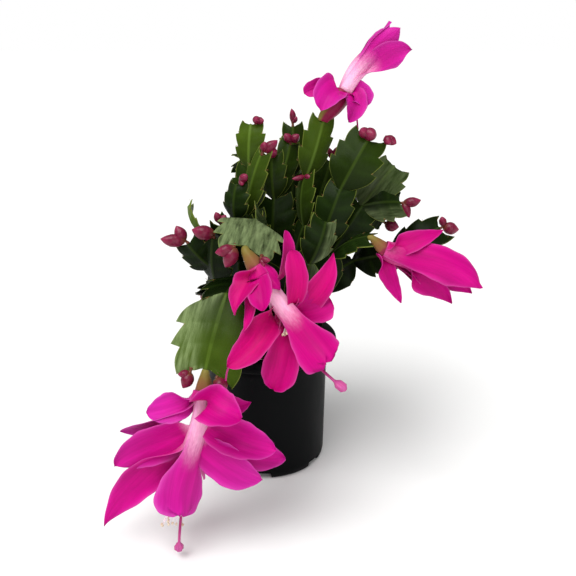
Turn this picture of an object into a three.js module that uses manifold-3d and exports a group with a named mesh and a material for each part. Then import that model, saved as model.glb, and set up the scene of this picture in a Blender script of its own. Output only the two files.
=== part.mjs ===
// A potted Christmas cactus in bloom: a thin-walled nursery pot of compost, leafy stems of flat, toothed
// segments, four open flowers and clusters of buds at the stem tips.
// Millimetres, +Z up. The origin is the centre of the pot's underside and -Y is the side that the front
// flowers face. Every stem, ovary, corolla and bud cluster is one closed solid.
import * as THREE from "three";
import { mergeVertices } from "three/addons/utils/BufferGeometryUtils.js";
import Module from "manifold-3d";

const wasm = await Module();
wasm.setup();

// ---- driving dimensions -------------------------------------------------------------------------
const POT_HEIGHT = 69;
const RIM_RADIUS = 37.5; // outside of the rolled lip
const POT_TOP_RADIUS = 32.6; // wall just under the lip
const FOOT_RADIUS = 30.6;
const HEEL = 0.9; // how far the wall stands out just above the foot
const HEEL_HEIGHT = 2.5;
const WALL = 1.2;
const FLOOR = 2;
const LIP_DROP = 6;
const LIP_EDGE = 1.3; // rounding of the lip
const POT_SIDES = 28;
const SOIL_SIDES = 20;
const SLOTS = 6; // drainage slots round the base corner
const SLOT = { width: 10, height: 3.5, depth: 6, first: -33 };
const SOIL_LEVEL = 58;
const SOIL_BUMP = 1;
const ROOT_DEPTH = 8; // how far each stem stands in the compost
const ROOT_RADIUS = 2.2;
const ROOT_SIDES = 6;
const GAP = 0.3; // clearance between touching pieces

const SEGMENT_EDGE = 0.8; // thickness of a stem segment at its margin
const SEGMENT_RIB = 2.6; // and along its midrib
const SEGMENT_BOW = 2; // how far a segment arches
const SEGMENT_CUP = 1.5; // how far its margins roll back
const PETAL_EDGE = 0.6;
const PETAL_RIB = 0.9;
const PETAL_CURL = 0.1; // how far a petal's margins rise, as a share of its width
const PETAL_SINK = { radius: 1.8, rise: 3 }; // where a petal's root sits in the tube

const COLOURS = {
  pot: [0x1c1f20, 0.55],
  soil: [0x2d2019, 0.95],
  leaf: [0x36561f, 0.4],
  petal: [0xe0179a, 0.45],
  ovary: [0xb58a58, 0.5],
  bud: [0xa62a5c, 0.4],
};

// ---- helpers --------------------------------------------------------------------------------------
const vec = (p) => new THREE.Vector3(...p);
const degrees = THREE.MathUtils.degToRad;
const lerp = THREE.MathUtils.lerp;

/** A repeatable random draw between low and high. */
function seeded(seed) {
  let state = seed;
  return (low, high) => {
    state = (state * 1664525 + 1013904223) % 4294967296;
    return low + ((high - low) * state) / 4294967296;
  };
}

/** The part of hint that is square to the direction along, as a unit vector. */
const sideways = (along, hint) => hint.clone().addScaledVector(along, -hint.dot(along)).normalize();

/** The manifold solid of a closed geometry, turned outside out if it is inside out. */
function solid(geometry) {
  const bare = new THREE.BufferGeometry().setAttribute("position", geometry.getAttribute("position"));
  const merged = mergeVertices(bare.setIndex(geometry.getIndex()), 1e-3);
  const vertProperties = merged.getAttribute("position").array;
  const triVerts = new Uint32Array(merged.getIndex().array);
  const made = new wasm.Manifold(new wasm.Mesh({ numProp: 3, vertProperties, triVerts }));
  if (made.volume() > 0) return made;
  return new wasm.Manifold(new wasm.Mesh({ numProp: 3, vertProperties, triVerts: triVerts.reverse() }));
}

/** One solid from several that cross, with any hollow that they seal filled. */
function join(solids) {
  const bodies = solids.reduce((whole, piece) => whole.add(piece)).decompose();
  return bodies.reduce((largest, body) => (body.volume() > largest.volume() ? body : largest));
}

/** A closed solid through rings of points, each end closed by a fan round the ring's middle.
 *  The far half of each ring takes the mirrored diagonal, so both faces of a blade split alike. */
function loft(rings) {
  const n = rings[0].length;
  const points = rings.flat();
  const faces = [];
  for (let i = 0; i + 1 < rings.length; i++) {
    for (let k = 0; k < n; k++) {
      const a = i * n + k;
      const b = i * n + ((k + 1) % n);
      faces.push(...(k < n / 2 ? [a, b, b + n, a, b + n, a + n] : [a, b, a + n, b, b + n, a + n]));
    }
  }
  for (const [row, turn] of [[0, 1], [rings.length - 1, 0]]) {
    const middle = new THREE.Vector3();
    rings[row].forEach((p) => middle.addScaledVector(p, 1 / n));
    points.push(middle);
    for (let k = 0; k < n; k++) {
      const edge = [row * n + k, row * n + ((k + 1) % n)];
      faces.push(edge[turn], edge[1 - turn], points.length - 1);
    }
  }
  const geometry = new THREE.BufferGeometry().setIndex(faces);
  const numbers = points.flatMap((p) => p.toArray());
  geometry.setAttribute("position", new THREE.Float32BufferAttribute(numbers, 3));
  return solid(geometry);
}

/** The six points round a blade's section: its margins reach half either side of margin and are lifted
 *  by cup along normal, and its midrib runs through rib. */
function bladeRing({ margin, rib, side, normal, half, cup, edge, thick }) {
  const corner = (sign, face) =>
    margin.clone().addScaledVector(side, sign * half).addScaledVector(normal, cup + (face * edge) / 2);
  const ridge = (face) => rib.clone().addScaledVector(normal, (face * thick) / 2);
  return [corner(-1, 1), ridge(1), corner(1, 1), corner(1, -1), ridge(-1), corner(-1, -1)];
}

/** Round rings of the given radii along a line of points, as a tube with closed ends. */
function tube(path, radii, sides) {
  const rings = path.map((p, i) => {
    const ahead = path[Math.min(i + 1, path.length - 1)].clone();
    const along = ahead.sub(path[Math.max(i - 1, 0)]).normalize();
    const side = sideways(along, vec([0.2, 1, 0.1]));
    const over = along.clone().cross(side);
    return Array.from({ length: sides }, (_, k) => {
      const t = (k / sides) * 2 * Math.PI;
      const out = side.clone().multiplyScalar(Math.cos(t)).addScaledVector(over, Math.sin(t));
      return p.clone().addScaledVector(out, radii[i]);
    });
  });
  return loft(rings);
}

// ---- stem segments --------------------------------------------------------------------------------
// Half of a segment's outline: how far along its length the margin and the midrib are, and how far out
// the margin is, as a share of half the width. Two teeth a side point forwards, and two horns flank the
// tip.
const SEGMENT_OUTLINE = [
  { margin: 0.02, rib: 0.02, out: 0.16 },
  { margin: 0.22, rib: 0.18, out: 0.8 },
  { margin: 0.46, rib: 0.38, out: 1 },
  { margin: 0.48, rib: 0.46, out: 0.87 },
  { margin: 0.75, rib: 0.64, out: 0.96 },
  { margin: 0.77, rib: 0.74, out: 0.8 },
  { margin: 1.1, rib: 0.9, out: 0.68 },
  { margin: 0.97, rib: 0.98, out: 0.32 },
];

// The oldest segments, next to the foot, are worn smooth and have one low tooth a side.
const WORN_OUTLINE = [
  { margin: 0.02, rib: 0.02, out: 0.3 },
  { margin: 0.35, rib: 0.32, out: 0.85 },
  { margin: 0.72, rib: 0.66, out: 1 },
  { margin: 0.76, rib: 0.76, out: 0.85 },
  { margin: 0.97, rib: 0.98, out: 0.4 },
];

/** The rings of one flat segment that grows from one joint to the next and shows its flat side to face. */
function segmentRings({ from, to, width, face, worn }) {
  const reach = to.clone().sub(from);
  const facing = sideways(reach.clone().normalize(), face);
  const bow = (s) => SEGMENT_BOW * 4 * s * (1 - s);
  const at = (s) => from.clone().addScaledVector(reach, s).addScaledVector(facing, bow(s));
  return (worn ? WORN_OUTLINE : SEGMENT_OUTLINE).map(({ margin, rib, out }) => {
    const along = reach.clone().addScaledVector(facing, SEGMENT_BOW * 4 * (1 - 2 * margin)).normalize();
    const normal = sideways(along, facing);
    return bladeRing({
      margin: at(margin), rib: at(rib), side: along.clone().cross(normal), normal, half: (out * width) / 2,
      cup: -SEGMENT_CUP * out * out, edge: SEGMENT_EDGE, thick: SEGMENT_RIB,
    });
  });
}

/** A line of segments as one solid. A ring is taken half a turn on where that keeps a joint untwisted. */
function chain(blades) {
  const rings = blades.flatMap(segmentRings);
  for (let i = 1; i < rings.length; i++) {
    const before = rings[i - 1][2].clone().sub(rings[i - 1][0]);
    const here = rings[i][2].clone().sub(rings[i][0]);
    if (before.dot(here) < 0) rings[i] = [...rings[i].slice(3), ...rings[i].slice(0, 3)];
  }
  return loft(rings);
}

/** The woody foot of a stem, from inside the compost up into its first segment. */
function foot([x, y], first) {
  const ground = vec([x, y, SOIL_LEVEL - ROOT_DEPTH]);
  const surface = vec([x, y, SOIL_LEVEL + SOIL_BUMP + 1.5]);
  const inside = surface.clone().lerp(first, 0.3);
  return tube([ground, surface, inside], [ROOT_RADIUS, ROOT_RADIUS, ROOT_RADIUS * 0.5], ROOT_SIDES);
}

/** A whole stem: its foot and its lines of segments, where a line starts anew at each fork. */
function stem({ root, blades }) {
  const lines = [];
  blades.forEach((blade, i) => {
    if (i === 0 || blade.from !== blades[i - 1].to) lines.push([]);
    lines.at(-1).push(blade);
  });
  return join([foot(root, blades[0].to), ...lines.map(chain)]);
}

// Stems placed by hand. Each segment grows from the joint with the number in its first place, where 0 is
// the foot, to the joint at the given point; then come its width and the way its flat side faces.
const STEMS = {
  trailing: {
    foot: [-7, -15],
    segments: [
      [0, [-5, -16, 87], 17, [0.3, -0.9, 0.2]],
      [1, [-7, -31, 111], 20, [-0.2, -0.7, 0.6]],
      [2, [-14.5, -60, 112], 28, [0, 0, 1]],
      [3, [-22.5, -76, 84.5], 36, [-0.15, -0.85, 0.45]],
    ],
  },
  drooping: {
    foot: [1, -9],
    segments: [
      [0, [0, -8, 86], 14, [0, -1, 0.2]],
      [1, [0, -14, 113], 22, [0.2, -1, 0.2]],
      [2, [-3, -32, 138], 24, [0, -0.6, 0.8]],
      [3, [-6, -58, 132.5], 30, [0.25, -0.45, 0.86]],
    ],
  },
  crown: {
    foot: [8, 1],
    segments: [
      [0, [9, 3, 86], 16, [-0.4, -0.9, 0]],
      [1, [17, 1, 107], 15, [-0.3, -0.9, 0.2]],
      [2, [20.5, 0, 128], 15, [-0.7, -0.7, 0]],
      [3, [21, 5, 152], 16, [-0.8, -0.6, 0]],
      [4, [29, 9, 178.5], 15.5, [0.3, -0.9, 0.3]],
    ],
  },
  right_high: {
    foot: [13, -9],
    segments: [
      [0, [16, -10, 90], 12, [0.5, -0.8, 0.2]],
      [1, [28, -12, 121], 20, [-0.2, -0.95, 0.2]],
      [2, [37.5, -8, 148], 19, [-0.2, -0.95, 0.2]],
      [3, [50.5, -2, 171], 24, [-0.1, -0.95, 0.3]],
    ],
  },
  right: {
    foot: [18, -3],
    segments: [
      [0, [24, -4, 88], 12, [0.3, -0.9, 0.4]],
      [1, [35, -6, 117], 18, [0, -0.9, 0.4]],
      [2, [49, -1, 138], 22, [0, -0.8, 0.5]],
      [3, [68, 2, 139], 19, [0.1, -0.8, 0.6]],
      [3, [66.5, 16, 155], 22, [-0.3, -0.9, 0.2]],
      [3, [60, 3, 129.5], 13, [0.1, -0.9, 0.3]],
    ],
  },
  reaching: {
    foot: [13, -17],
    segments: [
      [0, [18, -20, 89], 15, [0, -0.8, 0.5]],
      [1, [33, -22, 118], 18, [-0.2, -0.6, 0.7]],
      [2, [49.5, -28, 129], 20, [-0.41, -0.03, 0.87]],
    ],
  },
  low_right: {
    foot: [22, 5],
    segments: [
      [0, [25, 4, 93], 16, [0, -0.8, 0.6]],
      [1, [46, 5, 107.5], 20, [0, -0.8, 0.6]],
      [2, [66.5, 9, 109.5], 20, [0.1, -0.8, 0.6]],
      [3, [91.5, 12, 123.5], 21, [-0.1, -0.7, 0.7]],
    ],
  },
  left_high: {
    foot: [-4, 4],
    segments: [
      [0, [-5, 2, 86], 17, [-0.4, -0.9, 0.1]],
      [1, [-7, -2, 110], 22, [-0.3, -0.95, 0.1]],
      [2, [-8, -4, 135], 23, [-0.2, -1, 0.1]],
      [3, [-7, 2, 157], 18, [-0.3, -0.95, 0]],
      [4, [-6, 8, 177], 15, [-0.2, -0.9, 0.2]],
      [3, [-0.5, -5, 164], 12, [-0.5, -0.8, 0.3]],
    ],
  },
  left: {
    foot: [-13, 2],
    segments: [
      [0, [-11, -1, 87], 16, [-0.5, -0.8, 0]],
      [1, [-12, -7, 112], 19, [-0.4, -0.9, 0]],
      [2, [-13, -13, 134], 22, [-0.3, -0.95, 0]],
      [3, [-12, -11, 151], 15, [-0.5, -0.85, 0]],
      [2, [-19.5, -20, 133], 15, [-0.3, -0.9, 0.3]],
    ],
  },
  low_left: {
    foot: [-15, -8],
    segments: [
      [0, [-18, -16, 84], 14, [-0.8, -0.5, 0.2]],
      [1, [-22.5, -23.5, 106], 14, [-0.4, -0.9, 0.3]],
      [2, [-22, -32, 130.5], 20, [-0.4, -0.85, 0.3]],
      [1, [-22, -24, 113], 18, [-0.5, -0.8, 0.3]],
      [4, [-34.5, -29, 127], 18, [-0.5, -0.8, 0.3]],
      [4, [-28, -20, 129], 10, [-0.8, 0.3, 0.5]],
      [6, [-35, -13, 141], 9, [-0.8, 0.3, 0.5]],
    ],
  },
  front_short: {
    foot: [6, -22],
    segments: [
      [0, [14, -26, 90], 15, [0.2, -0.9, 0.3]],
      [1, [22, -31, 118], 17, [0.2, -0.9, 0.3]],
      [2, [29, -28, 137], 17, [0.4, -0.85, 0.2]],
    ],
  },
  centre: {
    foot: [-5, 10],
    segments: [
      [0, [-2, 9, 88], 14, [0, -1, 0]],
      [1, [4, 8, 114], 24, [0.2, -1, 0]],
      [2, [5, 9, 140], 24, [-0.1, -1, 0.1]],
      [3, [4, 12, 161], 15, [-0.2, -0.95, 0.2]],
      [3, [13, 16, 166], 14, [0.2, -0.95, 0.1]],
    ],
  },
  behind: {
    foot: [3, 14],
    segments: [
      [0, [6, 14, 90], 12, [0.5, -1, 0]],
      [1, [11, 15, 120], 15, [0.3, -1, 0]],
      [2, [15, 22, 150], 20, [0.1, -1, 0]],
      [3, [14.5, 26, 174], 14, [0, -0.95, 0.2]],
      [2, [28, 14, 139], 19, [0.1, -0.95, 0.2]],
      [5, [34, 19, 157], 18, [0, -0.95, 0.2]],
    ],
  },
};

/** The joints and segments of a hand-placed stem. */
function placedStem({ foot: root, segments }) {
  const joints = [vec([...root, SOIL_LEVEL + SOIL_BUMP])];
  const blades = segments.map(([start, to, width, face]) => {
    joints.push(vec(to));
    return { from: joints[start], to: joints.at(-1), width, face: vec(face), worn: start < 2 };
  });
  return { root, blades };
}

// Stems that arch away over the back of the pot, by rule: each follows a parabola in a vertical plane.
const ARCHES = {
  heading: [40, 67, 98, 124, 152], // degrees from +X towards +Y
  segments: [5, 5, 5, 5, 3], // how many each has
  root: 19, // from the middle of the compost to the foot
  reach: [52, 56, 50, 38, 16],
  crest: [80, 92, 96, 54, 36], // height above the compost at the top of the arch
  droop: [0.75, 0.8, 0.72, 0.85, 0.65], // where along the reach the top is
  widths: [13, 19, 23, 25, 24], // of the segments from the foot on
  turns: [75, 45, 20, 10, 0], // of their flat sides, away from facing back along the arch
};

function archedStem(i) {
  const draw = seeded(101 + 17 * i);
  const heading = degrees(ARCHES.heading[i]);
  const out = vec([Math.cos(heading), Math.sin(heading), 0]);
  const root = [ARCHES.root * out.x, ARCHES.root * out.y];
  const count = ARCHES.segments[i];
  const joints = Array.from({ length: count + 1 }, (_, k) => {
    const s = k / count;
    const rise = 1 - (s / ARCHES.droop[i] - 1) ** 2;
    return vec([...root, SOIL_LEVEL + SOIL_BUMP])
      .addScaledVector(out, ARCHES.reach[i] * s ** 1.3)
      .add(vec([0, 0, ARCHES.crest[i] * rise]));
  });
  const blades = ARCHES.widths.slice(0, count).map((width, k) => {
    const reach = joints[k + 1].clone().sub(joints[k]).normalize();
    const turn = degrees(ARCHES.turns[k] + draw(-10, 10));
    const face = vec([-out.x, -out.y, 1.2]).applyAxisAngle(reach, turn);
    return { from: joints[k], to: joints[k + 1], width, face, worn: k < 2 };
  });
  return { root, blades };
}

// ---- buds -----------------------------------------------------------------------------------------
const BUD_OUTLINE = [[0, 0.55], [0.55, 1], [1, 0.18]];
const BUD_SIDES = 5;
const BUD_CLEAR = 2.1; // from the tip of a segment to the middle of a bud's root

// Clusters of buds past the tips of segments: [stem, segment, place across the tip as a share of half its
// width, buds], and each bud is [direction, length, radius].
const BUDS = [
  ["left_high", 5, 0.3, [[[0.1, -0.9, 0.2], 5, 1.8], [[0.8, -0.6, 0], 5, 1.7]]],
  ["left_high", 6, 0, [[[0.2, -0.4, 0.9], 5, 1.9], [[0.85, 0, 0.6], 8.5, 2.4]]],
  ["behind", 4, 0, [[[-0.1, -0.1, 1], 7, 1.6], [[0.4, -0.3, 0.6], 4, 1.3]]],
  ["centre", 5, 0, [[[-0.7, -0.5, 0.8], 5.5, 2.1], [[0.9, -0.5, 0.8], 5.5, 2.1]]],
  ["centre", 4, 0, [[[0, -1, 0.1], 7, 2.6]]],
  ["left", 4, 0.2, [[[0.5, -0.5, 0.5], 5.5, 1.9], [[0.2, -0.6, -0.3], 4, 1.3]]],
  ["behind", 6, 0, [[[-0.3, -0.3, 0.9], 6, 1.6], [[0.5, -0.2, 0.8], 8, 2]]],
  ["right_high", 4, -0.15, [[[-0.5, -0.7, 0.3], 6.5, 2.5], [[0.4, -1, 0.1], 6.5, 3]]],
  ["right_high", 4, 0.6, [[[0.1, -0.9, -0.5], 5.5, 2], [[0.9, -0.6, -0.6], 6, 2.2]]],
  ["right", 4, 0, [[[0.95, -0.2, 0.2], 8.5, 2.4], [[0.35, -0.3, -0.9], 8, 2.2]]],
  ["right", 6, 0, [[[0.9, -0.3, -0.2], 7, 2.9]]],
  ["low_right", 4, 0, [[[-0.3, -0.1, 1], 5.5, 1.9], [[0.95, -0.1, -0.2], 8, 3.1]]],
  ["low_left", 5, 0, [[[-0.95, -0.2, 0.1], 11, 2.9], [[-0.5, 0.1, 0.9], 7.5, 2.7]]],
  ["low_left", 3, 0, [[[-0.95, -0.1, 0.2], 10, 3.2]]],
  ["left", 5, 0, [[[-0.3, -0.1, 0.9], 5.5, 1.8], [[0.6, -0.2, 0.8], 5, 1.7]]],
  ["drooping", 4, 0.32, [[[-1, -0.3, -0.2], 8, 2.4], [[-0.4, -0.2, -0.9], 9, 3.1]]],
  ["drooping", 4, -0.5, [[[0.3, -0.6, -0.6], 4, 1.2], [[0.9, -0.5, 0], 4.5, 1.3]]],
  ["trailing", 4, 0.36, [[[-0.4, -0.3, -0.8], 7, 2.6], [[-0.9, -0.2, 0], 5, 1.7]]],
  ["trailing", 4, -0.3, [[[0.5, -0.4, -0.7], 7, 3]]],
];

/** A pair of buds for the tip of an arching stem. */
function drawnBuds(i) {
  const draw = seeded(211 + 29 * i);
  const turn = degrees(ARCHES.heading[i]);
  return [-30, 35].map((lean) => {
    const heading = turn + degrees(lean + draw(-10, 10));
    return [[Math.cos(heading), Math.sin(heading), draw(-0.8, 0.1)], draw(6, 10), draw(1.8, 2.8)];
  });
}

/** Pointed buds that grow from one point, just past the tip of a segment. */
function budCluster({ from, to, width, face }, across, buds) {
  const reach = to.clone().sub(from);
  const along = reach.clone().normalize();
  const side = along.clone().cross(sideways(along, face));
  const horn = Math.max(0, Math.abs(across) - SEGMENT_OUTLINE.at(-1).out) * 0.4 * reach.length();
  const root = to.clone().addScaledVector(side, (across * width) / 2);
  root.addScaledVector(along, BUD_CLEAR + horn);
  return join(buds.map(([direction, length, radius]) => {
    const way = vec(direction).normalize();
    const path = BUD_OUTLINE.map(([s]) => root.clone().addScaledVector(way, s * length));
    return tube(path, BUD_OUTLINE.map(([, share]) => share * radius), BUD_SIDES);
  }));
}

// ---- flowers --------------------------------------------------------------------------------------
const PETAL_OUTLINE = [[0, 0.28], [0.32, 0.86], [0.72, 0.94], [1, 0.12]];
const TUBE_BEND = [0, 0.1, 0.35, 0.65, 1];
const TUBE_RADII = [4, 3.7, 3.4, 3.8, 4.8];
const STYLE_RADIUS = 0.7;
const STIGMA_RADIUS = 1.8;

// A flower hangs from a segment of its stem. crown is the point where the ovary ends and the tube begins,
// mouth the tube's other end, and girth the tube's thickness as a share of the usual one. A petal is [place
// along the tube, its tip, width, angle from the tube at its root or the point that it heads for, the way
// that its inner side faces at the tip, or null where that follows from its curve].
const FLOWERS = {
  flower_low: {
    stem: "trailing", segment: 4, ovary: [1.9, 3, 4.2], crown: [-23.5, -78, 75], mouth: [-31.5, -83, 47],
    girth: 1, style: [[-35, -88, 24], [-36, -90, 3.5]],
    petals: [
      [0.05, [-8, -96, 73], 17, 85, [-0.1, -0.6, 0.8]],
      [0.05, [-48, -80, 66.5], 13, 70, [0.1, -0.9, 0.5]],
      [0.2, [-61, -76, 54.5], 11, 60, [0.1, -0.85, -0.5]],
      [0.1, [-4, -66, 65], 8, 60, null],
      [0.1, [-26, -52, 66], 14, 60, null],
      [0.6, [-62, -85, 43], 18, 75, [0.1, -1, 0.1]],
      [0.9, [-69, -86, 13], 15, 50, [0.3, -0.9, 0.3]],
      [0.8, [-33.3, -97, 28], 23, 12, null],
      [0.4, [7.5, -84, 54], 17, 85, [0, -0.9, 0.3]],
      [0.65, [11, -74, 40], 15, 80, [0, -1, 0.1]],
      [0.75, [1, -88, 38.5], 18, 75, [0, -1, -0.1]],
      [0.9, [-29, -60, 28], 16, 40, null],
      [0.9, [-50, -68, 30], 15, 40, null],
    ],
  },
  flower_middle: {
    stem: "drooping", segment: 4, ovary: [1.9, 3, 4.3], crown: [-1, -61, 124], mouth: [15, -70, 103],
    girth: 1, style: [[17, -74, 90], [36, -84, 79.5]],
    petals: [
      [0.35, [11, -66, 142.5], 7, 100, [0.7, -0.7, 0]],
      [0.75, [13.5, -72, 136], 9, 100, [0, -1, 0.2]],
      [0.8, [31, -62, 132], 11, 80, [0, -1, 0.1]],
      [0.05, [-8.3, -76, 114], 11, 65, [-0.5, -0.8, 0.2]],
      [0.1, [-7.5, -82, 105], 9, 50, [-0.5, -0.8, 0.2]],
      [0.1, [2.5, -74, 117.5], 10, 50, null],
      [0.6, [-12.5, -88, 92], 14, 60, [-0.2, -0.9, 0.3]],
      [0.85, [5.5, -75, 75.5], 15, 40, [0, -1, 0]],
      [0.8, [27.5, -85, 92.5], 19, 14, null],
      [0.85, [29.5, -66, 113.5], 14.5, 75, [0.1, -1, 0.2]],
      [0.9, [24, -46, 98], 14, 50, null],
      [0.7, [4, -44, 96], 14, 50, null],
    ],
  },
  flower_top: {
    stem: "crown", segment: 5, ovary: [3, 4.4, 4.6], crown: [39.5, 14, 191], mouth: [50, 18, 208],
    girth: 0.85,
    petals: [
      [0.06, [20, 12, 191.5], 9, 90, [-0.2, -1, 0.2]],
      [0.06, [27.5, 0, 184.5], 16, 90, [-0.2, -1, 0.3]],
      [0.04, [42, 6, 178], 12, 90, [0.3, -1, 0]],
      [0.04, [50, 10, 185], 13, 80, [0.3, -0.9, 0.2]],
      [0.04, [40, 32, 190], 13, 80, null],
      [0.6, [62, 22, 224.5], 12, 4, null],
      [0.6, [66, 16, 221.5], 13, 4, null],
      [0.6, [64, 30, 220], 13, 8, null],
      [0.6, [71, 13, 212.5], 14, 12, null],
      [0.6, [68, 28, 212], 12, 10, null],
    ],
  },
  flower_right: {
    stem: "reaching", segment: 3, ovary: [1.4, 2.4, 3.6], crown: [57.5, -28, 123], mouth: [70, -27, 118.5],
    girth: 1,
    petals: [
      [0.05, [85, -22, 132], 10, [68, -33, 131], [0, -0.8, 0.6]],
      [0.05, [66, -30, 97.5], 9, 35, [-0.5, -0.8, 0.2]],
      [0.05, [66, -12, 110], 11, 50, null],
      [0.3, [99, -37, 108], 17, [90, -38, 128], null],
      [0.8, [100, -27, 101], 15, [88, -29, 121], [-0.3, -0.9, 0]],
      [0.8, [90.5, -29, 97.5], 15, [80, -30, 117], [-0.2, -0.9, -0.1]],
      [0.5, [75, -26, 108], 4, 60, null],
      [0.5, [96, -10, 100], 15, 5, null],
      [0.5, [86, -14, 98], 14, 15, null],
    ],
  },
};

/**
 * One arching petal from its root to its tip, which turns from its natural side to the one given. lift is
 * the angle from axis at its root, or the point that it heads for.
 */
function petal({ root, axis, tip, width, lift, face }) {
  const reach = tip.clone().sub(root);
  const radial = sideways(axis, reach);
  const hinge = axis.clone().cross(radial).normalize();
  const start = axis.clone().applyAxisAngle(hinge, degrees(Array.isArray(lift) ? 0 : lift));
  const bend = Array.isArray(lift) ? vec(lift) : root.clone().addScaledVector(start, reach.length() / 2);
  const curve = new THREE.QuadraticBezierCurve3(root, bend, tip);
  return loft(PETAL_OUTLINE.map(([s, wide]) => {
    const tangent = curve.getTangent(s);
    const normal = tangent.clone().cross(hinge).normalize();
    if (face) normal.lerp(sideways(tangent, vec(face)), Math.min(1, 0.35 + 1.1 * s)).normalize();
    const middle = curve.getPoint(s);
    return bladeRing({
      margin: middle, rib: middle, side: tangent.clone().cross(normal), normal, half: (wide * width) / 2,
      cup: PETAL_CURL * width * wide, edge: PETAL_EDGE, thick: PETAL_RIB,
    });
  }));
}

/** One flower's two solids: its ovary, and its tube with all the petals and the style. */
function flower({ ovary, crown, mouth, girth, style, petals }, { from, to }) {
  const growth = to.clone().sub(from).normalize();
  const top = vec(crown);
  const heel = to.clone().addScaledVector(growth, 4 * GAP);
  const way = top.clone().sub(heel).normalize();
  const base = heel.addScaledVector(way, ovary[0]);
  const seedCase = tube([base, base.clone().lerp(top, 0.4), top], ovary, 8);

  const start = top.clone().addScaledVector(way, GAP);
  const end = vec(mouth);
  const elbow = start.clone().addScaledVector(way, start.distanceTo(end) / 2);
  const bend = new THREE.QuadraticBezierCurve3(start, elbow, end);
  const throat = tube(TUBE_BEND.map((s) => bend.getPoint(s)), TUBE_RADII.map((r) => r * girth), 8);
  const blades = petals.map(([station, tip, width, lift, face]) => {
    const centre = bend.getPoint(station);
    const axis = bend.getTangent(station);
    const radial = sideways(axis, vec(tip).sub(centre));
    centre.addScaledVector(radial, PETAL_SINK.radius).addScaledVector(axis, PETAL_SINK.rise);
    return petal({ root: centre, axis, tip: vec(tip), width, lift, face });
  });
  const pieces = [throat, ...blades];
  if (style) {
    const hang = new THREE.QuadraticBezierCurve3(bend.getPoint(0.8), ...style.map(vec));
    const radii = [1, 1, 1, 1, STIGMA_RADIUS / STYLE_RADIUS, 1.2].map((share) => share * STYLE_RADIUS);
    pieces.push(tube([0, 0.35, 0.7, 0.9, 0.95, 1].map((s) => hang.getPoint(s)), radii, 6));
  }
  return { seedCase, corolla: join(pieces) };
}

// ---- pot and compost --------------------------------------------------------------------------------
function lathe(profile, sides) {
  const outline = profile.map(([r, z]) => new THREE.Vector2(r, z));
  return new THREE.LatheGeometry(outline, sides).rotateX(Math.PI / 2);
}

function pot() {
  const underLip = POT_HEIGHT - LIP_DROP;
  let made = solid(lathe([
    [0, 0], [FOOT_RADIUS, 0], [FOOT_RADIUS + HEEL, HEEL_HEIGHT], [POT_TOP_RADIUS, underLip],
    [RIM_RADIUS - LIP_EDGE, underLip], [RIM_RADIUS, underLip + LIP_EDGE],
    [RIM_RADIUS, POT_HEIGHT - LIP_EDGE], [RIM_RADIUS - LIP_EDGE, POT_HEIGHT],
    [POT_TOP_RADIUS, POT_HEIGHT], [POT_TOP_RADIUS - WALL, POT_HEIGHT - LIP_EDGE],
    [FOOT_RADIUS + HEEL - WALL, HEEL_HEIGHT + 1], [FOOT_RADIUS - WALL, FLOOR], [0, FLOOR],
  ], POT_SIDES));
  for (let i = 0; i < SLOTS; i++) {
    const turn = degrees(SLOT.first + (360 / SLOTS) * i);
    const cutter = new THREE.BoxGeometry(2 * SLOT.depth, SLOT.width, 2 * SLOT.height);
    made = made.subtract(solid(cutter.translate(FOOT_RADIUS + 1, 0, 0).rotateZ(turn)));
  }
  return made;
}

function soil(roots) {
  const outside = (z) => lerp(FOOT_RADIUS + HEEL, POT_TOP_RADIUS, z / (POT_HEIGHT - LIP_DROP));
  const inside = (z) => outside(z) - WALL - 2 * GAP;
  const shoulder = SOIL_LEVEL - 2 * SOIL_BUMP;
  const draw = seeded(7);
  const ground = mergeVertices(new THREE.BufferGeometry().copy(lathe([
    [0, FLOOR + GAP], [FOOT_RADIUS - WALL - 1, FLOOR + GAP], [inside(5), 5], [inside(shoulder), shoulder],
    [16, SOIL_LEVEL], [0, SOIL_LEVEL],
  ], SOIL_SIDES)).deleteAttribute("normal").deleteAttribute("uv"), 1e-3);
  const place = ground.getAttribute("position");
  for (let i = 0; i < place.count; i++) {
    if (place.getZ(i) > shoulder + 1) place.setZ(i, SOIL_LEVEL + draw(-SOIL_BUMP, SOIL_BUMP));
  }
  return roots.reduce((whole, [x, y]) => {
    const bore = ROOT_RADIUS + 2 * GAP;
    const hole = new THREE.CylinderGeometry(bore, bore, 2 * ROOT_DEPTH, ROOT_SIDES);
    return whole.subtract(solid(hole.rotateX(Math.PI / 2).translate(x, y, SOIL_LEVEL - GAP)));
  }, solid(ground));
}

// ---- assembly ---------------------------------------------------------------------------------------
const plant = new THREE.Group();

function place(name, shape, colour) {
  const mesh = shape.getMesh();
  const points = new Float32Array(mesh.numVert * 3);
  for (let i = 0; i < mesh.numVert; i++) {
    points.set(mesh.vertProperties.subarray(i * mesh.numProp, i * mesh.numProp + 3), i * 3);
  }
  const geometry = new THREE.BufferGeometry()
    .setAttribute("position", new THREE.BufferAttribute(points, 3))
    .setIndex(new THREE.BufferAttribute(new Uint32Array(mesh.triVerts), 1));
  const [color, roughness] = COLOURS[colour];
  const made = new THREE.Mesh(geometry, new THREE.MeshStandardMaterial({ color, roughness, metalness: 0 }));
  made.name = name;
  plant.add(made);
}

const stems = new Map(Object.entries(STEMS).map(([name, placed]) => [name, placedStem(placed)]));
const clusters = [...BUDS];
ARCHES.heading.forEach((_, i) => {
  const name = `back_${i + 1}`;
  stems.set(name, archedStem(i));
  clusters.push([name, ARCHES.segments[i], 0, drawnBuds(i)]);
});

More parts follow.
